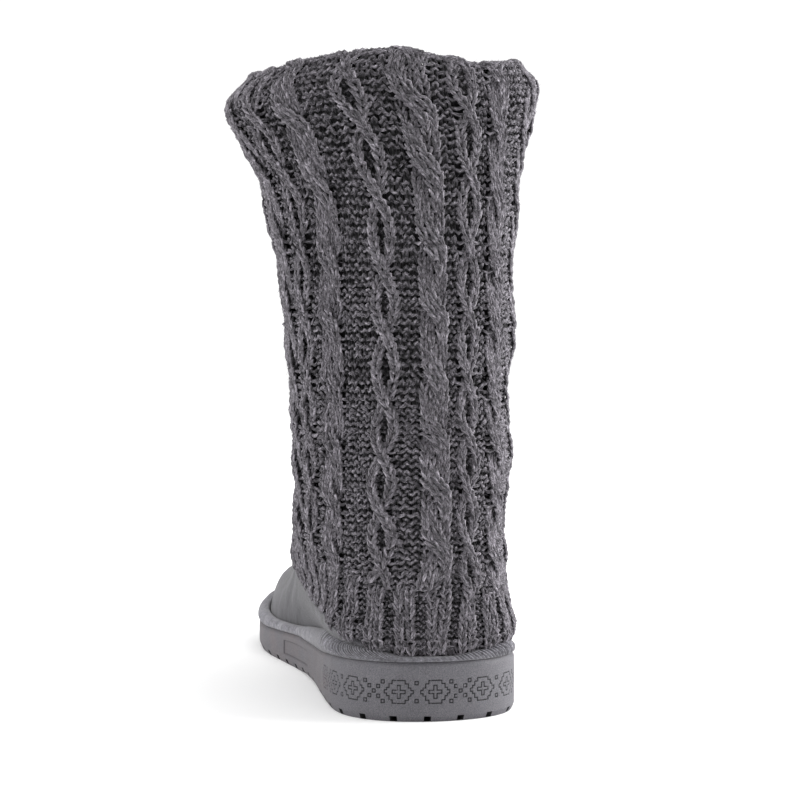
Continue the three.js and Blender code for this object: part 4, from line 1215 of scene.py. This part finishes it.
def build_insole():
    """A crowned pad with a soft edge, dished a little under the heel and raised under the arch."""
    side = outline_place(np.arange(FINE).astype(float), feather_in(fine[:, 1]) + 5.7)[0]
    middle_y = (side[:, 1].min() + side[:, 1].max()) / 2
    reach = (side[:, 1].max() - side[:, 1].min()) / 2
    stations, around = 84, 44
    ys = middle_y - reach * np.cos(np.pi * (0.012 + 0.976 * np.linspace(0, 1, stations)))
    toe, heel = int(np.argmax(side[:, 1])), int(np.argmin(side[:, 1]))
    index = np.arange(FINE)
    medial_side = side[np.mod(index[: (toe - heel) % FINE + 1] + heel, FINE)]
    lateral_side = side[np.mod(index[: (heel - toe) % FINE + 1] + toe, FINE)][::-1]
    left = np.interp(ys, np.maximum.accumulate(medial_side[:, 1]), medial_side[:, 0])
    right = np.interp(ys, np.maximum.accumulate(lateral_side[:, 1]), lateral_side[:, 0])
    theta = 2 * np.pi * np.arange(around) / around
    c, s = np.cos(theta), np.sin(theta)
    across = np.sign(c) * np.abs(c) ** 0.55
    up = np.sign(s) * np.abs(s) ** 0.75
    rings = []
    for y, x0, x1 in zip(ys, left, right):
        half, mid = (x1 - x0) / 2, (x1 + x0) / 2
        edge = min(1.0, half / 12.0)
        base = float(rubber_top(np.array(y))) + 0.45
        thick = 3.9 * (0.55 + 0.45 * edge)
        crown = 0.35 * (1 - across ** 2) - 0.55 * np.exp(-((y + 4) / 22) ** 2) * (1 - across ** 2)
        crown = crown + 0.45 * np.exp(-((y - 88) / 34) ** 2) * smooth(-across, 0.1, 0.9)
        z = base + thick / 2 + up * thick / 2 + np.where(s > 0, crown * up, 0)
        rings.append(np.stack([mid + across * half, np.full(around, y), z], 1))
    verts = np.concatenate(rings)
    centres = np.array([rings[0].mean(0), rings[-1].mean(0)])
    n = len(verts)
    faces = grid_faces(stations, around, True, False)
    k = np.arange(around)
    cap_low = np.stack([np.full(around, n), (k + 1) % around, k], 1)
    last = (stations - 1) * around
    cap_high = np.stack([np.full(around, n + 1), last + k, last + (k + 1) % around], 1)
    obj = mesh_object("insole_pad", np.concatenate([verts, centres]), [faces[:, ::-1], cap_low[:, ::-1], cap_high[:, ::-1]], LINING)
    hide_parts("insole")
    return obj


build_insole()

# ---------------------------------------------------------------- floor and light
floor_mesh = bpy.data.meshes.new("floor")
floor_mesh.from_pydata([(-6, -6, 0), (6, -6, 0), (6, 6, 0), (-6, 6, 0)], [], [(0, 1, 2, 3)])
floor = bpy.data.objects.new("floor", floor_mesh)
scene.collection.objects.link(floor)
fn = Nodes("floor_white")
fn.set(Base_Color=(0.88, 0.88, 0.88, 1), Roughness=0.9, Specular_IOR_Level=0.0,
       Emission_Color=(1, 1, 1, 1), Emission_Strength=0.3)
# the floor's glow, painted light, grows away from the boot: round the boot the floor is painted darker, so that only
# the boot's contact shadow shows
rays = fn.add("ShaderNodeLightPath")
where = fn.add("ShaderNodeSeparateXYZ")
fn.link(fn.position(), where.inputs[0])
fx = fn.math("MULTIPLY", fn.math("ADD", where.outputs["X"], 0.007), 15.0)
fy = fn.math("MULTIPLY", fn.math("ADD", where.outputs["Y"], -0.094), 6.7)
away = fn.math("SQRT", fn.math("ADD", fn.math("MULTIPLY", fx, fx), fn.math("MULTIPLY", fy, fy)))
spread = fn.add("ShaderNodeMapRange", interpolation_type="SMOOTHSTEP")
spread.inputs["From Min"].default_value = 0.95
spread.inputs["From Max"].default_value = 3.6
fn.link(away, spread.inputs["Value"])
near = fn.math("ADD", fn.math("MULTIPLY", rays.outputs["Is Camera Ray"], 0.14), 0.04)
far = fn.math("MULTIPLY", spread.outputs[0], fn.math("ADD", fn.math("MULTIPLY", rays.outputs["Is Camera Ray"], 0.30), 0.22))
fn.link(fn.math("ADD", near, far), fn.bsdf.inputs["Emission Strength"])
floor_mesh.materials.append(fn.material)


def area(name, location, target, size, power):
    data = bpy.data.lights.new(name, "AREA")
    data.shape = "RECTANGLE"
    data.size, data.size_y = size
    data.energy = power
    obj = bpy.data.objects.new(name, data)
    obj.location = location
    direction = np.array(target, float) - np.array(location, float)
    from mathutils import Vector
    obj.rotation_euler = Vector(direction).to_track_quat("-Z", "Y").to_euler()
    scene.collection.objects.link(obj)
    return obj


area("light_left", (-1.15, 0.15, 0.50), (0, 0.05, 0.14), (0.9, 1.2), 9.0)
area("light_right", (1.05, 0.00, 0.50), (0, 0.02, 0.14), (0.9, 1.2), 21.5)
area("light_top", (0.1, 0.2, 1.5), (0, 0.05, 0.1), (1.6, 1.6), 15)
area("light_front", (-0.35, -1.5, 0.9), (0, 0.0, 0.12), (1.0, 0.8), 1.8)
world = bpy.data.worlds.new("studio")
world.use_nodes = True
wt = world.node_tree
soft = wt.nodes["Background"]
soft.inputs["Color"].default_value = (1, 1, 1, 1)
soft.inputs["Strength"].default_value = 0.39
seen = wt.nodes.new("ShaderNodeBackground")
seen.inputs["Color"].default_value = (1, 1, 1, 1)
seen.inputs["Strength"].default_value = 1.1
rays = wt.nodes.new("ShaderNodeLightPath")
blend = wt.nodes.new("ShaderNodeMixShader")
wt.links.new(rays.outputs["Is Camera Ray"], blend.inputs[0])
wt.links.new(soft.outputs[0], blend.inputs[1])
wt.links.new(seen.outputs[0], blend.inputs[2])
wt.links.new(blend.outputs[0], wt.nodes["World Output"].inputs["Surface"])
scene.world = world
scene.view_settings.view_transform = "Standard"
scene.view_settings.look = "None"
